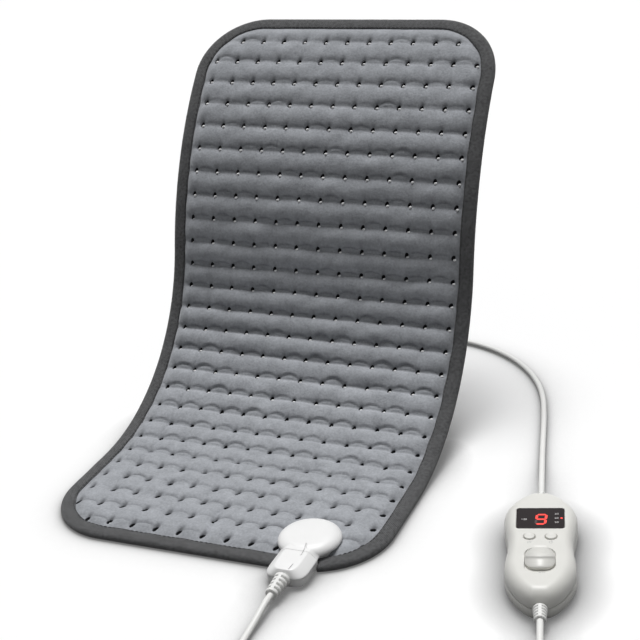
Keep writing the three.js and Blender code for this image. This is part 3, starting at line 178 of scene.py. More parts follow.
def moulded(name, colour, roughness, edge=0.0, grain=0.06, coarse=1500.0):
    """Moulded plastic or vinyl: a slight mottle, a fine grain, and edges softened over a small radius."""
    material = surface(name)
    mottle = noise(material, 55.0, 3.0)
    soft_edge = {}
    if edge:
        soft_edge["Normal"] = wired(material, "Bevel", samples=6, Radius=edge * mm).outputs[0]
    return coated(
        material,
        Base_Color=blend(material, mottle, [c * 0.965 for c in colour], [min(c * 1.035, 1) for c in colour]),
        Roughness=spread(material, mottle, roughness - 0.05, roughness + 0.05),
        Normal=relief(material, noise(material, coarse, 2.0), grain, 0.0003, **soft_edge),
    )


def dressed(piece, material, body, slot, *solids, at=None):
    """Gives a piece its material, its place, its body, and the solids that it replaces. Its slot is not used.
    """
    piece.data.materials.clear()
    piece.data.materials.append(material)
    if at:
        piece.matrix_world = at
    if solids:
        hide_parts(*solids)
    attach(piece, body)
    return piece


def flex(name, route):
    """A round cord as one curve through the points of its route, in millimetres from the pad's front edge."""
    line = bpy.data.curves.new(name, "CURVE")
    line.dimensions = "3D"
    line.bevel_depth = flex_thickness / 2 * mm
    line.bevel_resolution = 5
    line.resolution_u = 5
    line.use_fill_caps = True
    spline = line.splines.new("BEZIER")
    spline.bezier_points.add(len(route) - 1)
    for knot, (x, y, z) in zip(spline.bezier_points, route):
        knot.co = (x * mm, (y + front_edge) * mm, z * mm)
        knot.handle_left_type = knot.handle_right_type = "AUTO"
    return placed(name, line)


head_x, boot_end, boot_height = 92, -42.48, 8.5
controller_x, controller_y, controller_turn = 273, 60, math.radians(14.7)
nose_height = 10
relief_end = 84.12
lies = flex_thickness / 2 + 0.05


def out_of_controller(end):
    sink = ((0, 0), (8, 0.1), (18, 0.9), (31, 2.9), (46, 5.3), (61, 6.8))
    for distance, drop in sink:
        reach = end + math.copysign(distance, end)
        yield (
            controller_x - reach * math.sin(controller_turn),
            controller_y + reach * math.cos(controller_turn),
            nose_height - drop,
        )


out_of_boot = [(0, 0), (7, 0.1), (16.5, 1.3), (28.5, 3.4), (42.5, 5.1)]
loop = [
    (93, -107), (95, -129), (101, -157), (116, -187), (139, -212), (168, -227), (200, -232),
    (232, -227), (261, -212), (285, -188), (302, -159), (310, -130), (312, -105),
]
lead_route = [(head_x, boot_end - distance, boot_height - drop) for distance, drop in out_of_boot]
lead_route += [(x, y, lies) for x, y in loop]
lead_route += list(out_of_controller(-relief_end))[::-1]
white_vinyl = moulded("white_vinyl", (0.83, 0.83, 0.81), 0.42, grain=0.04)
lead = dressed(flex("lead_flex", lead_route), white_vinyl, "cordset", "white_rubber", "pad_lead")

# The mains cord leaves the controller's upper end, passes behind the pad and is wound in and out again in
# two layers of turns, one on the other. A woven strap holds them, and the plug lies beside them.
run = [
    (228.5, 231), (221, 262), (213, 293), (203.5, 323), (190, 351), (171.5, 376), (148, 397), (120, 412.5),
    (88, 421.5), (60, 424.5, 2.8), (38, 424.9, 3.3),
]
coil_x, coil_y, coil_bottom = 15, 385, 3.45
coil_inner, coil_pitch, layer_turns, coil_dip, turn_points = 22, 5.75, 3.25, 2, 24
coil_outer = coil_inner + layer_turns * coil_pitch
plug_x, plug_axis = -28, 7.8


def coil_point(turn):
    inward = min(turn, layer_turns)
    outward = max(turn - layer_turns - 0.5, 0)
    turning = min(max(2 * (turn - layer_turns), 0), 1)
    radius = coil_outer - coil_pitch * (inward - outward) - coil_dip * math.sin(math.pi * turning) ** 2
    angle = (0.25 + turn) * 2 * math.pi
    height = coil_bottom + coil_pitch * (turning * turning * (3 - 2 * turning))
    return coil_x + radius * math.cos(angle), coil_y + radius * math.sin(angle), height


mains_route = list(out_of_controller(relief_end))
mains_route += [(point + (lies,))[:3] for point in run]
coil_steps = int((2 * layer_turns + 0.5) * turn_points)
mains_route += [coil_point(step / turn_points) for step in range(coil_steps + 1)]
coil_end = mains_route[-1]
mains_route += [
    (coil_end[0] - 6, coil_end[1], coil_end[2]), (coil_end[0] - 14, coil_end[1], coil_end[2] - 0.3),
    (plug_x + 9, coil_end[1], plug_axis + 0.2), (plug_x + 0.3, coil_end[1], plug_axis),
]
mains = flex("mains_flex", mains_route)
dressed(mains, white_vinyl, "cordset", "white_rubber", "mains_cord", "mains_coil", "mains_tail")


def refinish(material, *names):
    """Gives solids that are shown as they are a finish of their own."""
    for name in names:
        nodes[name].data.materials.clear()
        nodes[name].data.materials.append(material)


def cells(material, scale):
    return wired(material, "TexVoronoi", Vector=place_on(material), Scale=scale).outputs["Distance"]


strap = surface("strap_weave")
strap_loops = cells(strap, 1600.0)
coated(
    strap, Base_Color=blend(strap, strap_loops, (0.035, 0.035, 0.037), (0.012, 0.012, 0.013)),
    Roughness=0.85, Normal=relief(strap, strap_loops, 0.6, 0.0004),
)
refinish(strap, "coil_tie")

# The plush cover: grey knit with a short nap, drawn down to the back at a square grid of stitched tufts. It
# fills out between them as cloth does, hardly on the seat and into rolls where the pad bends, with a small
# lid over each gap. Two faces of one sheet make it, closed at the rim under the tape.
pad_width, pad_length, corner_radius = 304, 600, 64
seat_length, bend_length = 120, 241
bend_angle, top_angle = math.radians(74.7), math.radians(34.1)
bend_radius = bend_length / bend_angle
back_radius = (pad_length - seat_length - bend_length) / (bend_angle - top_angle)
tuft_pitch, tuft_rows, tuft_columns = 22, 26, 13
first_row, first_column = 19, -130
tuft_level, most_loft, edge_level = 7.2, 6.6, 4.6
cover_inset, tape_width = 2, 13


def on_pad(across, along, above):
    """Points at millimetres across, along and above the pad's underside, in metres in the part's frame."""
    across, along, above = np.broadcast_arrays(*(np.asarray(v, float) for v in (across, along, above)))
    bent = np.clip(along - seat_length, 0, bend_length) / bend_radius
    curled = np.clip(along - seat_length - bend_length, 0, None) / back_radius
    slope = np.where(curled > 0, bend_angle - curled, bent)
    y = np.minimum(along, seat_length) + bend_radius * np.sin(bent)
    y = y + np.where(curled > 0, back_radius * (math.sin(bend_angle) - np.sin(slope)), 0)
    z = bend_radius * (1 - np.cos(bent))
    z = z + np.where(curled > 0, back_radius * (np.cos(slope) - math.cos(bend_angle)), 0)
    y = y - above * np.sin(slope) + front_edge
    z = z + above * np.cos(slope)
    return np.stack([across, y, z], -1) * mm


def ease(low, high, value):
    share = np.clip((value - low) / (high - low), 0, 1)
    return share * share * (3 - 2 * share)


def inside_edge(across, along):
    """How far a point is inside the pad's rounded outline."""
    x = np.abs(across) - (pad_width / 2 - corner_radius)
    y = np.abs(along - pad_length / 2) - (pad_length / 2 - corner_radius)
    return corner_radius - np.hypot(np.maximum(x, 0), np.maximum(y, 0)) - np.minimum(np.maximum(x, y), 0)


chance = np.random.default_rng(11)
sheet_parts = 8
sheet_step = tuft_pitch / sheet_parts
sheet_along = first_row + sheet_step * np.arange(-6, sheet_parts * (tuft_rows - 1) + 12)
sheet_across = first_column + sheet_step * np.arange(-7, sheet_parts * (tuft_columns - 1) + 7)
cloth_scale, cloth_steps = 0.05, 16
slack_from, slack_full, start_level, start_rolls, start_uneven = 70, 160, 0.6, 1.6, 0.15


def filled_out(pressure, sag, slack_across, slack_seat, slack_back):
    """The sheet as cloth, sewn down at tufts and rim, pushed out from below and sagging to the seat."""
    across, along = np.meshgrid(sheet_across, sheet_along)
    column = np.round((across - first_column) / sheet_step).astype(int)
    row = np.round((along - first_row) / sheet_step).astype(int)
    on_grid = (column >= 0) & (column <= sheet_parts * (tuft_columns - 1))
    on_grid &= (row >= 0) & (row <= sheet_parts * (tuft_rows - 1))
    sewn = (column % sheet_parts == 0) & (row % sheet_parts == 0) & on_grid
    sewn |= inside_edge(across, along) < tape_width - 1
    gathered = ease(slack_from, slack_full, sheet_along)
    rolls = start_rolls * np.abs(np.sin(math.pi * row / sheet_parts)) * gathered[:, None]
    start = start_level + rolls + chance.normal(size=across.shape) * start_uneven
    start[sewn] = 0
    lines, shares = across.shape
    numbered = np.arange(lines * shares).reshape(lines, shares)
    corners = numbered[:-1, :-1], numbered[:-1, 1:], numbered[1:, 1:], numbered[1:, :-1]
    points = np.stack([across, along, start], -1).reshape(-1, 3) * cloth_scale
    sheet = meshed("sheet", points.tolist(), np.stack([corner.ravel() for corner in corners], 1).tolist())
    sheet.vertex_groups.new(name="sewn").add(np.flatnonzero(sewn).tolist(), 1.0, "REPLACE")
    sheet.shape_key_add(name="laid")
    cut = sheet.shape_key_add(name="cut")
    looser = 1 + slack_seat + (slack_back - slack_seat) * gathered
    cut_along = np.concatenate([[0], np.cumsum(sheet_step * (looser[1:] + looser[:-1]) / 2)])
    cut_points = np.stack([across * (1 + slack_across), along * 0 + cut_along[:, None], along * 0], -1)
    cut.data.foreach_set("co", (cut_points * cloth_scale).ravel().astype(np.float32))
    cut.value = 0
    cloth = sheet.modifiers.new("cloth", "CLOTH")
    fabric = cloth.settings
    fabric.vertex_group_mass = "sewn"
    fabric.rest_shape_key = cut
    fabric.mass = 0.05
    fabric.time_scale = 2
    fabric.bending_stiffness = 0.1
    fabric.use_pressure = True
    fabric.uniform_pressure_force = pressure
    cloth.collision_settings.use_collision = False
    usual_gravity = stage.gravity.copy()
    stage.gravity = (0, -sag, 0)
    cloth.point_cache.frame_end = cloth_steps
    for step in range(1, cloth_steps + 1):
        stage.frame_set(step)
    settled = sheet.evaluated_get(bpy.context.evaluated_depsgraph_get()).data
    found = np.empty(len(points) * 3, np.float32)
    settled.vertices.foreach_get("co", found)
    bpy.data.objects.remove(sheet)
    stage.gravity = usual_gravity
    stage.frame_set(1)
    return found.reshape(lines, shares, 3) / cloth_scale - np.stack([across, along, along * 0], -1)


def smooth_read(field, row, column):
    """Reads a grid between its points with cubic weights, so that no facets show."""
    def weight(distance):
        near = np.clip(np.abs(distance), 0, 2)
        return np.where(near < 1, 2 / 3 - near ** 2 + near ** 3 / 2, (2 - near) ** 3 / 6)

    total = np.zeros(row.shape + field.shape[2:])
    for step_row in range(-1, 3):
        for step_column in range(-1, 3):
            at_row, at_column = np.floor(row) + step_row, np.floor(column) + step_column
            share = weight(row - at_row) * weight(column - at_column)
            at_row = np.clip(at_row, 0, field.shape[0] - 1).astype(int)
            at_column = np.clip(at_column, 0, field.shape[1] - 1).astype(int)
            total += share[..., None] * field[at_row, at_column]
    return total


cell_mood = chance.normal(size=(tuft_rows + 1, tuft_columns + 1, 2))
row_mood = chance.normal(size=(tuft_rows + 1, tuft_columns + 2))
wrinkle_count, wrinkle_height, wrinkle_rate = 26, 0.06, 0.16
wrinkle_waves = chance.normal(size=(wrinkle_count, 2)) * wrinkle_rate
wrinkle_starts = chance.uniform(0, 2 * math.pi, wrinkle_count)
creases = (6, 14, 98, 1.5, 1.8), (1, 90, 300, 1.2, 0.5), (11, 130, 330, 0.8, 0.5)
crease_half, crease_fade_in, crease_fade_out, crease_wave = 1.2, 15, 40, 6.0
rolls_from, rolls_full, calm_from, calm_to, calm_share = 75, 150, 430, 560, 0.55
upper_from, upper_full, loft_from, loft_most, loft_to = 200, 400, 200, 300, 430
roll_loft, bend_loft, roll_varies, roll_rise = 3.3, 1.1, 0.18, 2.8
seat_share, fill_share, fill_middle = 0.36, 0.17, 7
lid_reach, lid_in_bend, lid_on_back, lid_varies, lid_missing = 0.17, 0.08, 0.04, 0.22, 0.35
groove_depth, line_half, hole_rise, pit_floor, pit_rim = 1.3, 0.055, 0.8, 0.55, 1.2
comet_x, comet_y, comet_wide, comet_long, comet_depth = 1.0, 3.4, 2.6, 3.2, 0.8
slant_along, slant_across = 0.5, 0.866


def sewn_shape(across, along, filled):
    """How high the cover stands over its tufts, how much shade is painted along its grooves and above its
    dots, and how near a stitch is.
    """
    column_at = (across - first_column) / tuft_pitch
    row_at = (along - first_row) / tuft_pitch
    left, lower = np.floor(column_at), np.floor(row_at)
    cell = np.clip(left + 1, 0, tuft_columns).astype(int)
    band = np.clip(lower + 1, 0, tuft_rows).astype(int)
    beside, beyond = column_at - left, row_at - lower
    arch = np.maximum(np.sin(math.pi * beside), 1e-3)
    gathered = ease(rolls_from, rolls_full, along) * (1 - calm_share * ease(calm_from, calm_to, along))
    higher = ease(upper_from, upper_full, along)
    wide, bold = np.moveaxis(cell_mood[band, cell], -1, 0)
    lid_share = np.clip(1 + lid_varies * wide - lid_missing * higher * (bold < 0), 0.4, 1.4)
    lid_top = lid_reach + lid_in_bend * gathered - lid_on_back * higher
    lid_top = lid_top * arch ** 0.6 * lid_share
    past = beyond - lid_top
    lid = np.clip(beyond / lid_top, 0, 1)
    turn = beside * beside * (3 - 2 * beside)
    mood = row_mood[band, cell] * (1 - turn) + row_mood[band, cell + 1] * turn
    fullness = roll_loft + bend_loft * ease(loft_from, loft_most, along)
    fullness = (fullness - bend_loft * ease(loft_most, loft_to, along)) * (1 + roll_varies * mood)
    roll = (beyond + 0.02) * (1 - beyond) ** (0.6 + 0.25 * higher) * roll_rise * fullness
    open_lid = (1 - ease(-0.05, 0.045, past)) * ease(0, 0.35, arch) * ease(0, 0.04, beyond)
    puff = 0.35 + 4 * lid * (1 - lid) * arch
    rolled = 1.2 + roll + (np.minimum(puff, roll) - roll) * open_lid
    rolled = rolled + fill_share * (filled - fill_middle)
    strength = np.clip(0.7 + 0.45 * bold, 0, 1.5)
    groove = np.exp(-(past / np.where(past < 0, 0.05, 0.10)) ** 2) * arch
    flat = seat_share * filled - groove_depth * strength * groove
    height = flat + (rolled - flat) * gathered
    for column, start, end, depth, swerve in creases:
        reach = ease(start, start + crease_fade_in, along) * (1 - ease(end - crease_fade_out, end, along))
        off = (column_at - column) * tuft_pitch + swerve * np.sin(along / crease_wave)
        height = height - depth * reach * np.exp(-(off / crease_half) ** 2)
    for (wave_x, wave_y), start in zip(wrinkle_waves, wrinkle_starts):
        height = height + wrinkle_height * np.sin(wave_x * across + wave_y * along + start)
    off_x = (column_at - np.clip(np.round(column_at), 0, tuft_columns - 1)) * tuft_pitch
    off_y = (row_at - np.clip(np.round(row_at), 0, tuft_rows - 1)) * tuft_pitch
    hole_y = off_y - hole_rise * gathered
    along_slant = off_x * slant_along + hole_y * slant_across
    across_slant = off_x * slant_across - hole_y * slant_along
    pit_long, pit_wide, pit_depth = 3.4 - 0.7 * gathered, 2.1 - 0.3 * gathered, 2.2 - 0.6 * gathered
    from_stitch = np.hypot(along_slant / pit_long, across_slant / pit_wide)
    pit = 1 - ease(pit_floor, pit_rim, from_stitch)
    comet = np.exp(-((off_x - comet_x) / comet_wide) ** 2 - ((off_y - comet_y) / comet_long) ** 2)
    line = np.exp(-(past / line_half) ** 2) * arch ** 0.5
    # Painted shade: a soft shadow above each dot, a little over each open lid, and a dark line along each
    # lid's groove where the rolls overhang.
    dark = np.maximum(comet * (0.6 - 0.25 * gathered), 0.1 * gathered * open_lid)
    dark = np.maximum(dark, line * (0.5 * strength * (1 - gathered) + 0.42 * gathered))
    return height - pit_depth * pit - comet_depth * comet * (1 - gathered), dark, from_stitch


def outline_half(along, inset):
    radius = corner_radius - inset
    from_end = np.minimum(along, pad_length - along) - inset
    drawn_in = radius - np.sqrt(np.maximum(radius ** 2 - (radius - np.minimum(from_end, radius)) ** 2, 0))
    return pad_width / 2 - inset - drawn_in


cover_lines, cover_shares = 488, 247
along_lines = np.linspace(cover_inset, pad_length - cover_inset, cover_lines)
across_shares = np.linspace(-1, 1, cover_shares)
along_grid = np.repeat(along_lines[:, None], cover_shares, 1)
across_grid = across_shares[None, :] * outline_half(along_lines, cover_inset)[:, None]
edge_distance = inside_edge(across_grid, along_grid)
head_front, pressed_level, pressed_near, pressed_far = 33, 8.6, 24, 33
from_head = np.hypot(across_grid - head_x, along_grid - head_front)
pressed = 1 - ease(pressed_near, pressed_far, from_head)

filling = filled_out(pressure=30, sag=900, slack_across=0.012, slack_seat=0.025, slack_back=0.15)
filling_row = (along_grid - sheet_along[0]) / sheet_step
filling_column = (across_grid - sheet_across[0]) / sheet_step
moved = smooth_read(filling, filling_row, filling_column)
stands, dark, from_stitch = sewn_shape(across_grid, along_grid, moved[..., 2])
shoulder_run, tape_cover, deepest, rim_under, drift_share = 12, 1.5, -3.5, 1.5, 0.4
shoulder = np.clip((edge_distance - tape_width + tape_cover) / shoulder_run, 0, 1)
shoulder = 1 - (1 - shoulder) ** 2
lofted = tuft_level + np.clip(stands, deepest, most_loft)
top_height = edge_level + (lofted - edge_level) * shoulder
top_height = top_height + (np.minimum(top_height, pressed_level) - top_height) * pressed
under_height = rim_under + (0.02 + 0.1 * np.clip(10 - moved[..., 2], 0, 10) - rim_under) * shoulder

drift = moved[..., :2] * drift_share * shoulder[..., None]
top_points = on_pad(across_grid + drift[..., 0], along_grid + drift[..., 1], top_height).reshape(-1, 3)
under_points = on_pad(across_grid, along_grid, under_height).reshape(-1, 3)
numbered = np.arange(cover_lines * cover_shares).reshape(cover_lines, cover_shares)
a, b = numbered[:-1, :-1].ravel(), numbered[:-1, 1:].ravel()
c, d = numbered[1:, 1:].ravel(), numbered[1:, :-1].ravel()
under = len(top_points)
faces = np.stack([a, b, c, d], 1).tolist() + (np.stack([d, c, b, a], 1) + under).tolist()
rim = np.concatenate([numbered[0, :], numbered[1:, -1], numbered[-1, -2::-1], numbered[-2:0:-1, 0]])
for here, following in zip(rim, np.roll(rim, -1)):
    faces.append([int(following), int(here), int(here) + under, int(following) + under])
cover = meshed("plush_cover", np.concatenate([top_points, under_points]).tolist(), faces)
# Two attributes paint shade into the cover's colour: shade along its grooves and above its dots, and shadow
# in the stitch pits.
for painted, field in (("painted_shade", dark * shoulder), ("hole", np.clip(1 - from_stitch / 2, 0, 1))):
    cover.data.attributes.new(painted, "FLOAT", "POINT").data.foreach_set(
        "value", np.concatenate([field.ravel(), field.ravel() * 0]).astype(np.float32)
    )
cover.data.polygons.foreach_set("use_smooth", [True] * len(cover.data.polygons))

nap_weight = 1.5
plush = surface("grey_plush")
nap, brushed = noise(plush, 480.0, 5.0, 0.7), noise(plush, 85.0, 4.0, 0.6)
tone = reckoned(plush, "MULTIPLY_ADD", nap, nap_weight, brushed)
tone_share = spread(plush, tone, From_Min=0.8, From_Max=1.7)
painted_shade_share, near_hole = (
    wired(plush, "Attribute", attribute_name=painted).outputs["Fac"] for painted in ("painted_shade", "hole")
)
# Painted shadow: the stitch pits are painted near black and lose their sheen, for the shade that falls inside
# them.
painted_pit_shadow = spread(plush, near_hole, interpolation_type="SMOOTHSTEP", From_Min=0.46, From_Max=0.6)
nap_shade = blend(plush, tone_share, (0.262, 0.273, 0.292), (0.467, 0.484, 0.517))
# Painted shade: the nap's colour is darkened nearly to black where the shade is painted.
nap_and_painted_shade = blend(plush, painted_shade_share, nap_shade, (0.018, 0.018, 0.020))
coated(
    plush, Base_Color=blend(plush, painted_pit_shadow, nap_and_painted_shade, (0.005, 0.005, 0.006)), Roughness=0.95,
    Specular_IOR_Level=0.12, Sheen_Weight=spread(plush, painted_pit_shadow, 0.4, 0.0), Sheen_Roughness=0.45,
    Sheen_Tint=(0.92, 0.94, 0.97, 1), Normal=relief(plush, tone, 0.5, 0.0007),
)
cover.data.materials.append(plush)

mating_at, head_radius, neck_half = -25, 26, 17


def head_outline(inset, steps=72):
    """The head's outline about its centre: a disc with a straight neck towards the plug, in millimetres."""
    radius, half = head_radius - inset, neck_half - inset
    meet = math.acos(half / radius)
    angles = np.linspace(-meet, math.pi + meet, steps)
    points = [(half, mating_at)]
    points += [(radius * math.cos(angle), radius * math.sin(angle)) for angle in angles]
    return points + [(-half, mating_at)]


def stacked(name, rings, sharp=38):
    """A closed piece through rings of equally many points, in millimetres, with flat ends."""
    count = len(rings[0])
    points = [(x * mm, y * mm, z * mm) for ring in rings for x, y, z in ring]
    quads = []
    for ring in range(len(rings) - 1):
        for step in range(count):
            here, beside = ring * count + step, ring * count + (step + 1) % count
            quads.append((here, beside, beside + count, here + count))
    last = (len(rings) - 1) * count
    quads.append(tuple(range(count))[::-1])
    quads.append(tuple(range(last, last + count)))
    piece = meshed(name, points, quads)
    piece.data.shade_smooth()
    piece.data.set_sharp_from_angle(angle=math.radians(sharp))
    for end_face in piece.data.polygons[-2:]:
        end_face.use_smooth = False
    return piece


def level_ring(outline, height):
    return [(x, y, height) for x, y in outline]


def raised(outline, bottom, top):
    return [level_ring(outline, bottom), level_ring(outline, top)]


def carved(piece, tools, way="DIFFERENCE"):
    """Cuts tools out of a piece, joins them to it or keeps what is inside them, and takes them away."""
    for tool in tools:
        cut = piece.modifiers.new("cut", "BOOLEAN")
        cut.operation = way
        cut.solver = "EXACT"
        cut.object = tool
    bpy.context.view_layer.update()
    whole = piece.evaluated_get(bpy.context.evaluated_depsgraph_get())
    finished = bpy.data.meshes.new_from_object(whole)
    piece.modifiers.clear()
    piece.data = finished
    for tool in tools:
        bpy.data.objects.remove(tool)
    return piece


head_place = Matrix.Translation((head_x * mm, (head_front + front_edge) * mm, 0))
opening_bottom, opening_top, stem_inset = -1, 30, 2.7
passage_half, passage_near, passage_far = 17.3, -24, -35


def mirrored(right):
    """A whole outline from its right side."""
    return right + [(-x, y) for x, y in right[::-1]]


def head_openings():
    stem = stacked("stem_opening", raised(head_outline(stem_inset), opening_bottom, opening_top))
    corners = mirrored([(passage_half, passage_far), (passage_half, passage_near)])
    passage = stacked("plug_opening", raised(corners, opening_bottom, opening_top))
    for opening in (stem, passage):
        opening.matrix_world = head_place
    return [stem, passage]


carved(cover, head_openings())
dressed(cover, plush, "pad", "grey_plush", "top_cover", "bottom_cover")

# The tuft stitches: one short pale thread at the lower right edge of each dot, slanted the way the machine
# sewed it. It goes through to the back cover and holds the layers together. On the seat it is drawn in out
# of sight.
thread_sides, mid_level = 6, 3
thread_rings = (-0.5, 0.35, 0.9), (-0.38, 0.9, 0.2), (0, 1, 0), (0.38, 0.9, 0.2), (0.5, 0.35, 0.9)


def laid_thread(points, faces, middle, heading, length, girth, above):
    """Adds one stitch, a thread with drawn-in ends, to a list of points and faces on the pad."""
    first = len(points)
    for share, thin, sunk in thread_rings:
        x, y = middle[0] + heading[0] * length * share, middle[1] + heading[1] * length * share
        for turn in np.arange(thread_sides) * 2 * math.pi / thread_sides:
            off, lift = girth * thin * math.cos(turn), girth * (thin * math.sin(turn) - sunk)
            lifted = above + lift * (1 if above > mid_level else -1)
            points.append(tuple(on_pad(x - heading[1] * off, y + heading[0] * off, lifted)))
    last = first + thread_sides * (len(thread_rings) - 1)
    for ring in range(first, last, thread_sides):
        for turn in range(thread_sides):
            here, beside = ring + turn, ring + (turn + 1) % thread_sides
            faces.append((here, beside, beside + thread_sides, here + thread_sides))
    faces.append(tuple(range(first, first + thread_sides))[::-1])
    faces.append(tuple(range(last, last + thread_sides)))


def sewn_piece(name, points, faces, material, slot):
    piece = meshed(name, points, faces)
    piece.data.shade_smooth()
    dressed(piece, material, "pad", slot)


off_dot_x, off_dot_y, tuft_heading, tuft_length, tuft_girth = 1.3, -1.2, (0.94, 0.34), 2.8, 1.0
drawn_in, drawn_out, drawn_from, drawn_full, head_clear = 1.3, 1.8, 170, 250, 29
tuft_points, tuft_faces = [], []
for row in range(tuft_rows):
    for column in range(tuft_columns):
        x, y = first_column + column * tuft_pitch + off_dot_x, first_row + row * tuft_pitch + off_dot_y
        if inside_edge(x, y) < tape_width + 2 or math.hypot(x - head_x, y - head_front) < head_clear:
            continue
        at_line = np.argmin(np.abs(along_lines - y))
        at_share = np.argmin(np.abs(across_grid[at_line] - x))
        above = top_height[at_line, at_share] - drawn_in + drawn_out * ease(drawn_from, drawn_full, y)
        laid_thread(tuft_points, tuft_faces, (x, y), tuft_heading, tuft_length, tuft_girth, above)
tuft_thread = moulded("tuft_thread", (0.93, 0.93, 0.93), 0.7)
sewn_piece("tuft_stitches", tuft_points, tuft_faces, tuft_thread, "grey_plush")

# Inside the cover lie a needled felt, the heating wire laid to and fro on it in its silicone jacket, and a
# thermal cut-out. They are closed in, so each only needs its own plain finish.
def fibrous(name, pale, dark, scale):
    """Felt or thread: fine fibres of random tone, with a painted highlight: paler where their bump stands up.
    """
    material = surface(name)
    # Painted highlight: the colour is lighter where this noise raises the bump.
    fibres = noise(material, scale, 5.0)
    return coated(
        material, Base_Color=blend(material, fibres, dark, pale), Roughness=0.95,
        Normal=relief(material, fibres, 0.5, 0.0005),
    )


black_plastic = moulded("black_plastic", (0.02, 0.02, 0.021), 0.5)
refinish(fibrous("carrier_felt", (0.72, 0.69, 0.64), (0.55, 0.52, 0.47), 900.0), "felt_carrier")
refinish(moulded("silicone_jacket", (0.78, 0.74, 0.68), 0.6), "heating_wire")
refinish(black_plastic, "thermal_cutout")

# The binding: a dark woven tape folded over the cover's raw edge all round and sewn down along its inner
# edges. It stops on both sides of the plug, where the rim is cut away.
tape_section = [
    (13.0, 5.2), (12.7, 6.0), (11.6, 6.35), (8.0, 6.5), (4.0, 6.4), (1.8, 5.9), (0.6, 4.9), (0.1, 3.6),
    (0.0, 2.8), (0.2, 1.7), (0.9, 0.7), (2.4, 0.15), (6.0, 0.02), (11.6, 0.02), (12.7, 0.2), (13.0, 0.9),
    (9.0, 1.05), (2.6, 1.4), (1.6, 2.8), (2.6, 4.6), (9.0, 5.05),
]


def rim_walk(step):
    """Points round the pad's outline with the direction that faces out, from the front right corner."""
    across, far = pad_width / 2 - corner_radius, pad_length - corner_radius
    centres = (across, corner_radius), (across, far), (-across, far), (-across, corner_radius)
    sides = (1, 0), (0, 1), (-1, 0), (0, -1)
    walk = []
    for number, ((x, y), out) in enumerate(zip(centres, sides)):
        for angle in np.radians(np.linspace(number * 90 - 90, number * 90, 25)):
            facing = (math.cos(angle), math.sin(angle))
            walk.append((x + corner_radius * facing[0], y + corner_radius * facing[1], facing))
        run_x, run_y = centres[(number + 1) % 4][0] - x, centres[(number + 1) % 4][1] - y
        x, y = x + corner_radius * out[0], y + corner_radius * out[1]
        count = int(math.hypot(run_x, run_y) / step)
        walk += [(x + run_x * share, y + run_y * share, out) for share in np.arange(1, count) / count]
    return walk


tape_step, sway_wide, sway_fine, puff_height, upper_side = 4, 0.35, 0.25, 0.25, 5
walk = rim_walk(tape_step)
tape_rings = []
for number, (x, y, out) in enumerate(walk):
    sway = sway_wide * math.sin(number * 0.37) + sway_fine * math.sin(number * 0.91 + 1)
    ring = []
    for inset, above in tape_section:
        drawn = inset + sway * (inset / tape_width)
        puff = puff_height * math.sin(number * 0.83) * (1 if upper_side < above else 0)
        ring.append((x - out[0] * drawn, y - out[1] * drawn, above + puff))
    tape_rings.append(ring)
tape_flat = np.array(tape_rings)
tape_points = on_pad(tape_flat[..., 0], tape_flat[..., 1], tape_flat[..., 2])
ring_size = len(tape_section)
tape_faces = []
for ring in range(len(tape_rings)):
    here, after = ring * ring_size, (ring + 1) % len(tape_rings) * ring_size
    for step in range(ring_size):
        beside = (step + 1) % ring_size
        tape_faces.append((here + step, here + beside, after + beside, after + step))
tape = meshed("tape_binding", tape_points.reshape(-1, 3).tolist(), tape_faces)
tape.data.shade_smooth()

weave = surface("dark_tape")
speck_weight = 0.8


def ribs(direction, scale, distortion):
    values = {"Scale": scale, "Distortion": distortion, "Detail": 2.0}
    wave = wired(weave, "TexWave", bands_direction=direction, Vector=place_on(weave), **values)
    return wave.outputs["Fac"]


woven = reckoned(weave, "MULTIPLY", ribs("X", 420.0, 1.2), ribs("DIAGONAL", 300.0, 1.0))
weave_speck = spread(weave, noise(weave, 420.0, 5.0, 0.7), From_Min=0.36, From_Max=0.64)
weave_mix = reckoned(weave, "MULTIPLY_ADD", weave_speck, speck_weight, woven)
coated(
    weave, Base_Color=blend(weave, weave_mix, (0.005, 0.0052, 0.006), (0.088, 0.089, 0.092)),
    Roughness=0.8, Sheen_Weight=0.15, Normal=relief(weave, weave_mix, 0.45, 0.0005),
)
tape.data.materials.append(weave)
carved(tape, head_openings())
dressed(tape, weave, "pad", "dark_tape", "edge_binding")

# The seam that holds the tape: a row of short stitches in dark thread on each face, a little in from the
# tape's edge. It stops where the tape does, on both sides of the head.
stitch_inset, stitch_length, stitch_gap, thread = 11.7, 3.0, 1.3, 0.3
seam_stop_x, seam_stop_y = 28, head_front + 26
stitch_thread = fibrous("seam_thread", (0.03, 0.031, 0.032), (0.012, 0.012, 0.013), 2600.0)
for seam_name, seam_height in (("seam_front", 6.5), ("seam_back", 0.25)):
    line = np.array([(x - out[0] * stitch_inset, y - out[1] * stitch_inset) for x, y, out in rim_walk(1)])
    line = np.concatenate([line, line[:1]])
    reach = np.concatenate([[0], np.cumsum(np.hypot(*np.diff(line, axis=0).T))])
    seam_points, seam_faces = [], []
    for middle in np.arange(stitch_length / 2, reach[-1] - stitch_length, stitch_length + stitch_gap):
        places = middle + stitch_length * np.array([-0.5, 0, 0.5])
        x, y = np.interp(places, reach, line[:, 0]), np.interp(places, reach, line[:, 1])
        if abs(x[1] - head_x) < seam_stop_x and y[1] < seam_stop_y:
            continue
        heading = np.array([x[2] - x[0], y[2] - y[0]]) / math.hypot(x[2] - x[0], y[2] - y[0])
        laid_thread(seam_points, seam_faces, (x[1], y[1]), heading, stitch_length, thread, seam_height)
    sewn_piece(seam_name, seam_points, seam_faces, stitch_thread, "dark_tape")

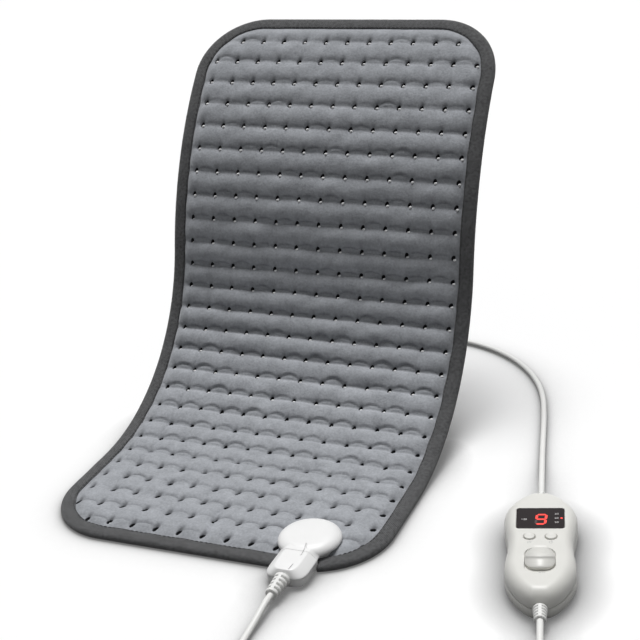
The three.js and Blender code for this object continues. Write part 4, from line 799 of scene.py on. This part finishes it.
# The head: a white moulded disc that grips the pad's layers near the front edge. Its round flange stands on
# the plush and its neck ends at the plug. The lower shell shows only from underneath.
satin_white = moulded("satin_white", (0.87, 0.87, 0.867), 0.4, edge=0.5)
shell_low, shell_high = 8.35, 8.65


def quarter(run, low, high, steps=10):
    """Insets and heights that round an edge over, from the side up to the top."""
    for angle in np.linspace(0, math.pi / 2, steps):
        yield run * (1 - math.cos(angle)), low + (high - low) * math.sin(angle)


def risen(outline, *steps):
    """Rings of an outline that takes an inset, one for each inset and height."""
    return [level_ring(outline(inset), height) for inset, height in steps]


def block_ring(half, height, front=mating_at):
    return [(half, front, height), (half, 4, height), (-half, 4, height), (-half, front, height)]


def disc(radius, x=0, y=0, steps=40):
    turns = np.arange(steps) * 2 * math.pi / steps
    return [(x + radius * math.cos(turn), y + radius * math.sin(turn)) for turn in turns]


def head_disc(inset):
    return disc(head_radius - inset, steps=96)


shoulder_steps = (0, 9.7), (0.3, 10.2), (0.9, 10.8), (6.6, 15.5), (7.1, 15.8), (7.7, 16.0), (9.0, 16.1)
head_steps = [(3, shell_high), (3, 9.5), (0.9, 9.5), (0.3, 9.75), *quarter(10, 10.4, 16.9, 16)]
head_upper = stacked("head_upper", risen(head_disc, *head_steps, (14, 17.1), (19, 17.2), (24, 17.25)))
foot_half, foot_front = 14, -24.5
neck_rings = [block_ring(foot_half, height, foot_front) for height in (shell_high, 9.5)]
neck_rings += [block_ring(16.9, 9.5)]
neck_rings += [block_ring(neck_half - inset, height) for inset, height in shoulder_steps]
carved(head_upper, [stacked("neck", neck_rings)], "UNION")
dressed(head_upper, satin_white, "pad", "white_plastic", "socket_upper_shell", at=head_place)


mouth_half, mouth_front, mouth_rear, mouth_low, mouth_high = 11.35, -26, -9.2, 5.15, 11.85


def mouth():
    corners = mirrored([(mouth_half, mouth_front), (mouth_half, mouth_rear)])
    opening = stacked("mouth", raised(corners, mouth_low, mouth_high))
    opening.matrix_world = head_place
    return opening


head_lower = stacked("head_lower", risen(head_outline, (4.5, 0.6), (3.6, 0.85), (3, 1.6), (3, shell_low)))
head_lower.data.materials.append(satin_white)
head_lower.matrix_world = head_place
carved(head_lower, [mouth()])
carved(head_upper, [mouth()])
dressed(head_lower, satin_white, "pad", "white_plastic", "socket_lower_shell")

contact_brass = surface("contact_brass")
drawn_lines = noise(contact_brass, 700.0, 4.0)
coated(
    contact_brass, Base_Color=blend(contact_brass, drawn_lines, (0.55, 0.40, 0.14), (0.72, 0.55, 0.24)),
    Metallic=1, Roughness=spread(contact_brass, drawn_lines, 0.22, 0.42),
)
refinish(contact_brass, "socket_pin_left", "socket_pin_right", "contact_sleeve_left", "contact_sleeve_right")

# The plug: two white shells round a tongue that goes into the head, with sloped sides and rounded front
# corners. A fine line scored along its top, and on over the head's neck, shows which way it goes in.
plug_front, corner_run, corner_aside, mating_gap = -54, 13, 9.1, 0.08
tongue_half, tongue_root, tongue_side, tongue_tip = 11, -25.8, -10.8, -9.8


def plug_outline(inset, steps=12):
    half, front = neck_half - inset, plug_front + inset * 0.3
    aside = corner_aside - inset * 0.37
    points = [(half, mating_at - mating_gap), (-half, mating_at - mating_gap)]
    for share in np.linspace(0, 1, steps):
        x = -half + share ** 2 * aside
        y = (1 - share) ** 2 * (front + corner_run) + 2 * share * (1 - share) * front + share ** 2 * front
        points.append((x, y))
    return points + [(-x, y) for x, y in points[:1:-1]]


def tongue(bottom, top):
    right = [(tongue_half, tongue_root), (tongue_half, tongue_side), (tongue_half - 1, tongue_tip)]
    return stacked("tongue", raised(mirrored(right), bottom, top))


lower_steps = (1.5, 2.0), (0.6, 2.3), (0, 3.4), (0, shell_low)
upper_steps = [(0, shell_high)] + [(inset, height - 0.15) for inset, height in shoulder_steps]
lower_shell = stacked("plug_lower", risen(plug_outline, *lower_steps))
upper_shell = stacked("plug_upper", risen(plug_outline, *upper_steps))
for shell, half_tongue, node in (
    (lower_shell, tongue(5.5, shell_low), "plug_lower_shell"),
    (upper_shell, tongue(shell_high, 11.5), "plug_upper_shell"),
):
    carved(shell, [half_tongue], "UNION")
    dressed(shell, satin_white, "cordset", "white_plastic", node, at=head_place)


def scored(piece, *points, radius=0.42):
    """Cuts a line with a thin round bar through points from front to rear, in millimetres about the head."""
    turns = np.arange(8) * math.pi / 4
    bar = stacked("score", [
        [(x + radius * math.cos(turn), y, z - radius * math.sin(turn)) for turn in turns]
        for x, y, z in points
    ])
    bar.matrix_world = head_place
    carved(piece, [bar])
    piece.data.materials.clear()
    piece.data.materials.append(satin_white)


scored(
    head_upper, (5.6, -26, 15.85), (5.3, -21, 15.85), (5.0, -19, 16.3), (4.6, -17, 16.6), (4.2, -15.5, 16.8)
)
scored(upper_shell, (4.3, -50.5, 15.6), (4.6, -47, 15.6), (4.8, -43, 15.75))
scored(upper_shell, (5.9, -31, 15.75), (5.8, -28, 15.65), (5.6, -24.9, 15.65))

# Boots and strain reliefs: soft white vinyl sleeves with ring grooves, so that the cord bends gently where
# it leaves a housing. A spine along the top and bottom joins the rings.
soft_vinyl = moulded("soft_vinyl", (0.83, 0.83, 0.815), 0.5, edge=0.25)
rib_start, rib_share, rib_round, groove_round, spine_half = 0.3, 0.6, 0.4, 0.15, 1.2


def ribbed_sleeve(name, base, tip, length, ribs, neck, place, node):
    """A tapered sleeve along +Y with rings and grooves, and a spine above and below."""
    core = flex_thickness / 2 + 0.7
    pitch = (length - rib_start) / ribs
    profile = [(neck, -1.5), (neck, rib_start)]
    for rib in range(ribs):
        low = rib_start + rib * pitch
        high = low + pitch * rib_share
        outer_low, outer_high = (base + (tip - base) * value / length for value in (low, high))
        profile += [(outer_low - 0.35, low), (outer_low, low + rib_round)]
        profile += [(outer_high, high - rib_round), (outer_high - 0.35, high)]
        if rib < ribs - 1:
            profile += [(core, high + groove_round), (core, low + pitch - groove_round)]
    rings = [[(x, along, -z) for x, z in disc(radius)] for radius, along in profile]
    sleeve = stacked(name, rings, sharp=50)
    spine_rings = []
    for along in (rib_start, profile[-1][1]):
        high = (base + (tip - base) * along / length) * 0.97
        right = [(spine_half, along, -high), (spine_half, along, high)]
        spine_rings.append(right + [(-x, y, z) for x, y, z in right[::-1]])
    carved(sleeve, [stacked("spine", spine_rings)], "UNION")
    return dressed(sleeve, soft_vinyl, "cordset", "white_rubber", node, at=place)


def shifted(x, y, z):
    return Matrix.Translation((x * mm, y * mm, z * mm))


half_turn = Matrix.Rotation(math.pi, 4, "Z")
boot_place = head_place @ shifted(0, plug_front, boot_height) @ half_turn
ribbed_sleeve("lead_boot", 6.6, 4.9, 23, 5, 3.9, boot_place, "plug_boot")
controller_place = shifted(controller_x, controller_y + front_edge, 0)
controller_place = controller_place @ Matrix.Rotation(controller_turn, 4, "Z")
case_half = 70
mains_nose = controller_place @ shifted(0, case_half, nose_height)
lead_nose = controller_place @ shifted(0, -case_half, nose_height) @ half_turn
ribbed_sleeve("relief_mains", 5.7, 4.4, 15, 5, 3.8, mains_nose, "mains_relief")
ribbed_sleeve("relief_lead", 5.7, 4.4, 15, 5, 3.8, lead_nose, "lead_relief")

# The controller's case: two satin white shells that meet at cord height, drawn in at the waist like an
# hourglass. The front has a seat for the window, two button holes and the slider's pocket; screws hold the
# back.
case_white = moulded("case_white", (0.72, 0.715, 0.68), 0.4, edge=0.5)
case_top, case_parting, case_shoulder, case_wall = 25, 10, 14, 2
above_case = case_top + 1
window_at, button_x, button_at, slider_rest = 26.88, 8.15, 1.54, -26.6
pocket_at, pocket_floor = slider_rest - 3.5, 21.8
upper_half, waist_half, lower_half, nose_half = 28.5, 24.9, 26.7, 6
upper_at, waist_at, lower_at = 35.98, -1.96, -28.98
end_x, end_y, end_pull, side_pull = 17, 65, 15, 12
seat_size, hole_size = (37.6, 29.3, 2.8), (33, 24.7, 2.5)
window_size, window_rim = (37, 28.7, 2.5), (36.2, 27.9, 2.2)
pocket_size, knob_size = (23.4, 32.8, 8.6), (22.4, 24.8, 8.5)
cup_size, cup_inner = (23.5, 32.9, 8.65), (22.9, 32.3, 8.4)
thumb_wide, thumb_tall, thumb_off, thumb_rise, thumb_round = 9, 3.6, 14.2, 1.6, 2.4
cut_low, seat_low = 12, 23.5


def case_outline(inset, steps=18):
    """The hourglass outline drawn in by an inset; it runs round from the lower nose's right side."""
    upper, waist, lower = (upper_half, upper_at), (waist_half, waist_at), (lower_half, lower_at)
    curves = (
        ((nose_half, -case_half), (end_x, -end_y), (lower_half, lower_at - end_pull), lower),
        (lower, (lower_half, lower_at + side_pull), (waist_half, waist_at - side_pull), waist),
        (waist, (waist_half, waist_at + side_pull), (upper_half, upper_at - side_pull), upper),
        (upper, (upper_half, upper_at + end_pull), (end_x, end_y), (nose_half, case_half)),
    )
    right = []
    for corners in curves:
        for share in np.arange(steps) / steps:
            weights = (1 - share) ** 3, 3 * share * (1 - share) ** 2, 3 * share ** 2 * (1 - share), share ** 3
            right.append(tuple(np.array(weights) @ np.array(corners)))
    right.append((nose_half, case_half))
    return [(x * (1 - inset / upper_half), y * (1 - inset / case_half)) for x, y in mirrored(right)]


def rounded_block(width, height, corner, x=0, y=0, steps=8):
    points = []
    for part, (side_x, side_y) in enumerate(((1, 1), (-1, 1), (-1, -1), (1, -1))):
        for angle in np.linspace(part * math.pi / 2, (part + 1) * math.pi / 2, steps):
            points.append((
                x + side_x * (width / 2 - corner) + corner * math.cos(angle),
                y + side_y * (height / 2 - corner) + corner * math.sin(angle),
            ))
    return points


def nose_bore(name):
    ends = -case_half - 2, case_half + 2
    return stacked(name, [[(x, end, case_parting - z) for x, z in disc(4.1, steps=32)] for end in ends])


front_steps = [(0.25, case_parting + 0.15), (0, case_parting + 0.5), *quarter(9, case_shoulder, case_top, 14)]
front_case = stacked("case_front", risen(case_outline, *front_steps))
inner_steps = [(case_wall, case_parting - 1)]
inner_steps += [(case_wall + inset, height) for inset, height in quarter(9, 12, 23, 8)]
scoop_rings = []
for angle in np.radians(np.linspace(-80, 80, 17)):
    size, height = math.cos(angle), case_top + thumb_rise + thumb_round * math.sin(angle)
    middle, wide, tall = slider_rest + thumb_off, thumb_wide * size, thumb_tall * size
    scoop_rings.append([(wide * x, middle + tall * y, height) for x, y in disc(1)])
front_cuts = [
    stacked("hollow", risen(case_outline, *inner_steps)),
    stacked("window_seat", raised(rounded_block(*seat_size, 0, window_at), seat_low, above_case)),
    stacked("window_hole", raised(rounded_block(*hole_size, 0, window_at), cut_low, above_case)),
    stacked("pocket", raised(rounded_block(*pocket_size, 0, pocket_at, 12), cut_low, above_case)),
    stacked("thumb_scoop", scoop_rings),
    nose_bore("bore_front"),
]
hole_profile = (4.45, cut_low), (4.45, 24.1), (5.1, 25.05), (5.2, above_case)
for side in (-1, 1):
    front_cuts.append(stacked("button_hole", [
        level_ring(disc(radius, side * button_x, button_at), height) for radius, height in hole_profile
    ]))
carved(front_case, front_cuts)
dressed(front_case, case_white, "cordset", "white_plastic", "front_case", at=controller_place)

cup = stacked("slider_pocket", raised(rounded_block(*cup_size, 0, pocket_at, 12), 20.4, 24.6))
cup_outline = rounded_block(*cup_inner, 0, pocket_at, 12)
carved(cup, [stacked("cup_hollow", raised(cup_outline, pocket_floor, above_case))])
dressed(cup, case_white, "cordset", "white_plastic", at=controller_place)

back_edges = (0, case_parting - 0.5), (0.25, case_parting - 0.15)
back_case = stacked("case_back", risen(case_outline, *list(quarter(4, 4, 0, 8))[::-1], *back_edges))
back_hollow = risen(case_outline, (6, 2), (case_wall, 6), (case_wall, case_parting + 1))
back_cuts = [stacked("back_hollow", back_hollow), nose_bore("bore_back")]
screw_x, screw_y, well_radius, well_top = 13, 52, 3.1, 2.8
for x in (-screw_x, screw_x):
    for y in (-screw_y, screw_y):
        back_cuts.append(stacked("screw_well", raised(disc(well_radius, x, y, 28), -1, well_top)))
carved(back_case, back_cuts)
dressed(back_case, case_white, "cordset", "white_plastic", "back_case", at=controller_place)

# The window: a polished dark plate set level with the face. A lit digit for the heat shows through it, with
# the four times in minutes beside it and a lamp by the time in use.
smoked = surface("smoked_window")
smears = noise(smoked, 60.0, 3.0)
coated(
    smoked, Base_Color=blend(smoked, smears, (0.007, 0.004, 0.005), (0.016, 0.008, 0.010)),
    Roughness=spread(smoked, smears, 0.05, 0.13), Specular_IOR_Level=0.15,
    Normal=wired(smoked, "Bevel", samples=6, Radius=0.0004).outputs[0],
)
window_low, window_edge, window_face = 23.8, 24.6, 24.95
window_rings = raised(rounded_block(*window_size, 0, window_at), window_low, window_edge)
window_rings += [level_ring(rounded_block(*window_rim, 0, window_at), window_face)]
window = stacked("window_plate", window_rings)
dressed(window, smoked, "cordset", "dark_window", "display_window", at=controller_place)


def lit(name, colour, strength):
    material = surface(name)
    glow = spread(material, noise(material, 300.0, 2.0), strength * 0.8, strength * 1.2)
    unlit = (*[c * 0.4 for c in colour], 1)
    return coated(material, Base_Color=unlit, Emission_Color=(*colour, 1), Emission_Strength=glow)


red_light = lit("red_light", (1.0, 0.045, 0.03), 1.0)
unlit_segment = moulded("unlit_segment", (0.03, 0.006, 0.006), 0.4)
digit_x, digit_y, digit_wide, digit_tall, digit_lean = 0.5, 25.4, 7.2, 13.2, 0.09
bar_half, bar_gap, bar_low, bar_face = 0.95, 0.25, 24.9, 24.99


def segment(name, start, end, material):
    """One bar of the digit, a flat six-sided strip between two points, leaning like its digit."""
    run_x, run_y = end[0] - start[0], end[1] - start[1]
    length = math.hypot(run_x, run_y)
    run_x, run_y = run_x / length, run_y / length
    trimmed = length - 2 * bar_gap
    sides = (
        (0, 0), (bar_half, bar_half), (trimmed - bar_half, bar_half), (trimmed, 0),
        (trimmed - bar_half, -bar_half), (bar_half, -bar_half),
    )
    outline = []
    for forward, aside in sides:
        x = start[0] + run_x * (forward + bar_gap) - run_y * aside
        y = start[1] + run_y * (forward + bar_gap) + run_x * aside
        outline.append((digit_x + x + y * digit_lean, digit_y + y))
    bar = stacked("digit_" + name, raised(outline[::-1], bar_low, bar_face))
    dressed(bar, material, "cordset", "red_lamp", at=controller_place)


wide, tall = digit_wide / 2, digit_tall / 2
corners = [(-wide, tall), (wide, tall), (wide, 0), (wide, -tall), (-wide, -tall), (-wide, 0)]
around = "top", "upper_right", "lower_right", "bottom", "lower_left", "upper_left"
for name, start, end in zip(around, corners, corners[1:] + corners[:1]):
    segment(name, start, end, unlit_segment if name == "lower_left" else red_light)
segment("middle", (-wide, 0), (wide, 0), red_light)

pale_ink = moulded("pale_ink", (0.62, 0.60, 0.60), 0.5)
grey_ink = moulded("grey_ink", (0.33, 0.33, 0.34), 0.6)
ink_depth = 0.02


def printed(name, words, x, y, height, tall, material):
    """Printed figures or a word, lying flat on a surface of the controller."""
    text = bpy.data.curves.new(name, "FONT")
    text.body = words
    text.size = tall * mm
    text.align_x, text.align_y = "CENTER", "CENTER"
    text.extrude = ink_depth * mm
    label_place = controller_place @ shifted(x, y, height)
    dressed(placed(name, text), material, "cordset", "white_plastic", at=label_place)


figure_height, figure_tall = 24.96, 3.1
for minutes, x, y in ((30, 12.4, 33.0), (60, 12.4, 27.0), (90, 12.4, 21.0), (120, -12.6, 25.4)):
    printed(f"minutes_{minutes}", str(minutes), x, y, figure_height, figure_tall, pale_ink)
lamp_radius, lamp_x, lamp_y = 1.0, 16.2, 27.0
lamp_spot = stacked("lamp_spot", raised(disc(lamp_radius, lamp_x, lamp_y, 24), bar_low, case_top))
dressed(lamp_spot, red_light, "cordset", "red_lamp", at=controller_place)

# Two round push buttons, dished for a fingertip, stand a little proud of the case, each in its own
# countersunk hole. Plain signs printed below them tell heat from time.
cap_profile = [
    (5.0, 21.8), (5.0, 22.6), (4.05, 22.65), (4.05, 25.3), (3.95, 25.65), (3.7, 25.86), (3.4, 25.9),
    (3.0, 25.82), (2.2, 25.62), (1.2, 25.5), (0.02, 25.46),
]
for use, side in (("heat", -1), ("timer", 1)):
    cap_rings = [level_ring(disc(radius, steps=48), height) for radius, height in cap_profile]
    cap_place = controller_place @ shifted(side * button_x, button_at, 0)
    cap = stacked(f"{use}_cap", cap_rings, sharp=50)
    dressed(cap, case_white, f"{use}_button", "white_plastic", f"{use}_button", at=cap_place)


def drawn_sign(name, strokes, x, y):
    """A small sign drawn in ink on the face of the case, from strokes in millimetres about its middle."""
    line = bpy.data.curves.new(name, "CURVE")
    line.dimensions = "3D"
    line.bevel_depth = 0.16 * mm
    line.bevel_resolution = 1
    line.use_fill_caps = True
    for stroke in strokes:
        spline = line.splines.new("POLY")
        spline.points.add(len(stroke) - 1)
        for knot, (off_x, off_y) in zip(spline.points, stroke):
            knot.co = (off_x * mm, off_y * mm, 0, 1)
    sign_place = controller_place @ shifted(x, y, case_top - 0.08)
    dressed(placed(name, line), grey_ink, "cordset", "black_plastic", at=sign_place)


sign_y, wave_apart, wave_swing, wave_rate, dial_radius = -6.4, 1.1, 0.35, 2.4, 1.4
rise = np.linspace(-1.3, 1.3, 13)
waves = [
    [(aside * wave_apart + wave_swing * math.sin(up * wave_rate), up) for up in rise] for aside in (-1, 0, 1)
]
drawn_sign("heat_sign", waves, -button_x, sign_y)
dial_turn = np.linspace(0, 2 * math.pi, 25)
dial = [(dial_radius * math.cos(angle), dial_radius * math.sin(angle)) for angle in dial_turn]
drawn_sign("timer_sign", [dial, [(0, 0.9), (0, 0), (0.7, 0)]], button_x, sign_y)

# The slider: a white knob with a cross ridge between two thumb scoops. It slides in its pocket, and the
# pocket's free end is marked for off.
knob_half, knob_low, knob_edge, scoop_run, scoop_depth = 12.5, 22.1, 25.4, 10.6, 1.25
ridge_steps = [(1.5, 26.3), (1.1, 26.75), (-1.1, 26.75), (-1.5, 26.3)]
scoops = (knob_half, 25.5, 0.1, ridge_steps), (scoop_run - knob_half, 25.6, -0.1, [])
side_profile = [(-knob_half, knob_low), (knob_half, knob_low), (knob_half, knob_edge)]
for start, level, slope, following in scoops:
    for share in np.linspace(0, 1, 14):
        dip = 4 * scoop_depth * share * (1 - share)
        side_profile.append((start - scoop_run * share, level - dip + slope * share))
    side_profile += following
knob = stacked("slider_knob", [[(x, y, z) for y, z in side_profile] for x in (-13, 13)])
knob_outline = stacked("knob_outline", raised(rounded_block(*knob_size, steps=14), 20, 28))
carved(knob, [knob_outline], "INTERSECT")
knob_place = controller_place @ shifted(0, slider_rest, 0)
dressed(knob, case_white, "power_slider", "white_plastic", "power_slider", at=knob_place)
word_x, word_at, word_tall = 1.4, pocket_at - 12.4, 3.0
printed("off_mark", "OFF", word_x, word_at, pocket_floor + 0.03, word_tall, grey_ink)
arrow_corners = [(-6.4, pocket_at - 13.4), (-5.3, pocket_at - 11.5), (-7.5, pocket_at - 11.5)]
arrow = stacked("off_arrow", raised(arrow_corners, pocket_floor, pocket_floor + 0.05))
dressed(arrow, grey_ink, "cordset", "black_plastic", at=controller_place)

# Inside the controller: a green board with its switches, lamps and power parts. Screws in the back hold the
# shells. The case hides all of this but the screw heads.
solder_mask = moulded("solder_mask", (0.03, 0.14, 0.06), 0.4, coarse=600.0)
zinc = surface("zinc_steel")
zinc_dull = spread(zinc, cells(zinc, 900.0), 0.28, 0.5)
coated(zinc, Base_Color=(0.55, 0.56, 0.58, 1), Metallic=1, Roughness=zinc_dull)
refinish(solder_mask, "circuit_board")
refinish(zinc, "slide_switch", "mains_fuse", *[f"case_screw_{number}" for number in range(1, 5)])
refinish(black_plastic, "digit_display", "heat_tact_switch", "timer_tact_switch", "triac", "control_chip")
refinish(moulded("dipped_resin", (0.42, 0.20, 0.05), 0.3), "film_capacitor")
refinish(moulded("lamp_lens", (0.45, 0.03, 0.02), 0.3), *[f"timer_lamp_{number}" for number in range(1, 5)])

# The mains plug: soft white vinyl moulded over two flat brass blades, with a ribbed boot where the cord
# goes in. It lies flat beside the coil.
plug_turn = Matrix.Rotation(math.pi / 2, 4, "Z")
plug_place = Matrix.Translation((plug_x * mm, (coil_end[1] + front_edge) * mm, plug_axis * mm)) @ plug_turn
boot_reach, plug_length, blade_x, slot_half, slot_high = 20.26, 30, 6.35, 1, 3.4
plug_back = boot_reach + 1.1
plug_wide, plug_thick, plug_corner, slot_deep, slot_past = 25, 15.4, 4.6, 25, 31
body_rings = []
for share, wide_part, thick_part in (
    (0, 0.42, 0.62), (0.03, 0.5, 0.72), (0.12, 0.6, 0.8), (0.25, 0.72, 0.88), (0.4, 0.86, 0.95),
    (0.55, 0.97, 0.99), (0.65, 1, 1), (0.93, 1, 1), (0.98, 0.98, 0.97), (1, 0.93, 0.91),
):
    outline = rounded_block(plug_wide * wide_part, plug_thick * thick_part, plug_corner * thick_part)
    body_rings.append([(x, plug_back + share * plug_length, -z) for x, z in outline])
plug_body = stacked("mains_plug_moulding", body_rings)
blade_slots = []
for middle in (-blade_x, blade_x):
    low, high = middle - slot_half, middle + slot_half
    corners = (high, -slot_high), (low, -slot_high), (low, slot_high), (high, slot_high)
    slot_ends = plug_back + slot_deep, plug_back + slot_past
    blade_slots.append(stacked("blade_slot", [[(x, along, z) for x, z in corners] for along in slot_ends]))
carved(plug_body, blade_slots)
dressed(plug_body, soft_vinyl, "cordset", "white_rubber", "mains_plug_body", at=plug_place)
boot_place = plug_place @ shifted(0, boot_reach, 0) @ half_turn
plug_sleeve = ribbed_sleeve("mains_plug_sleeve", 4.8, 3.9, 22, 5, 3.9, boot_place, "mains_plug_boot")
refinish(contact_brass, "plug_blade_left", "plug_blade_right")
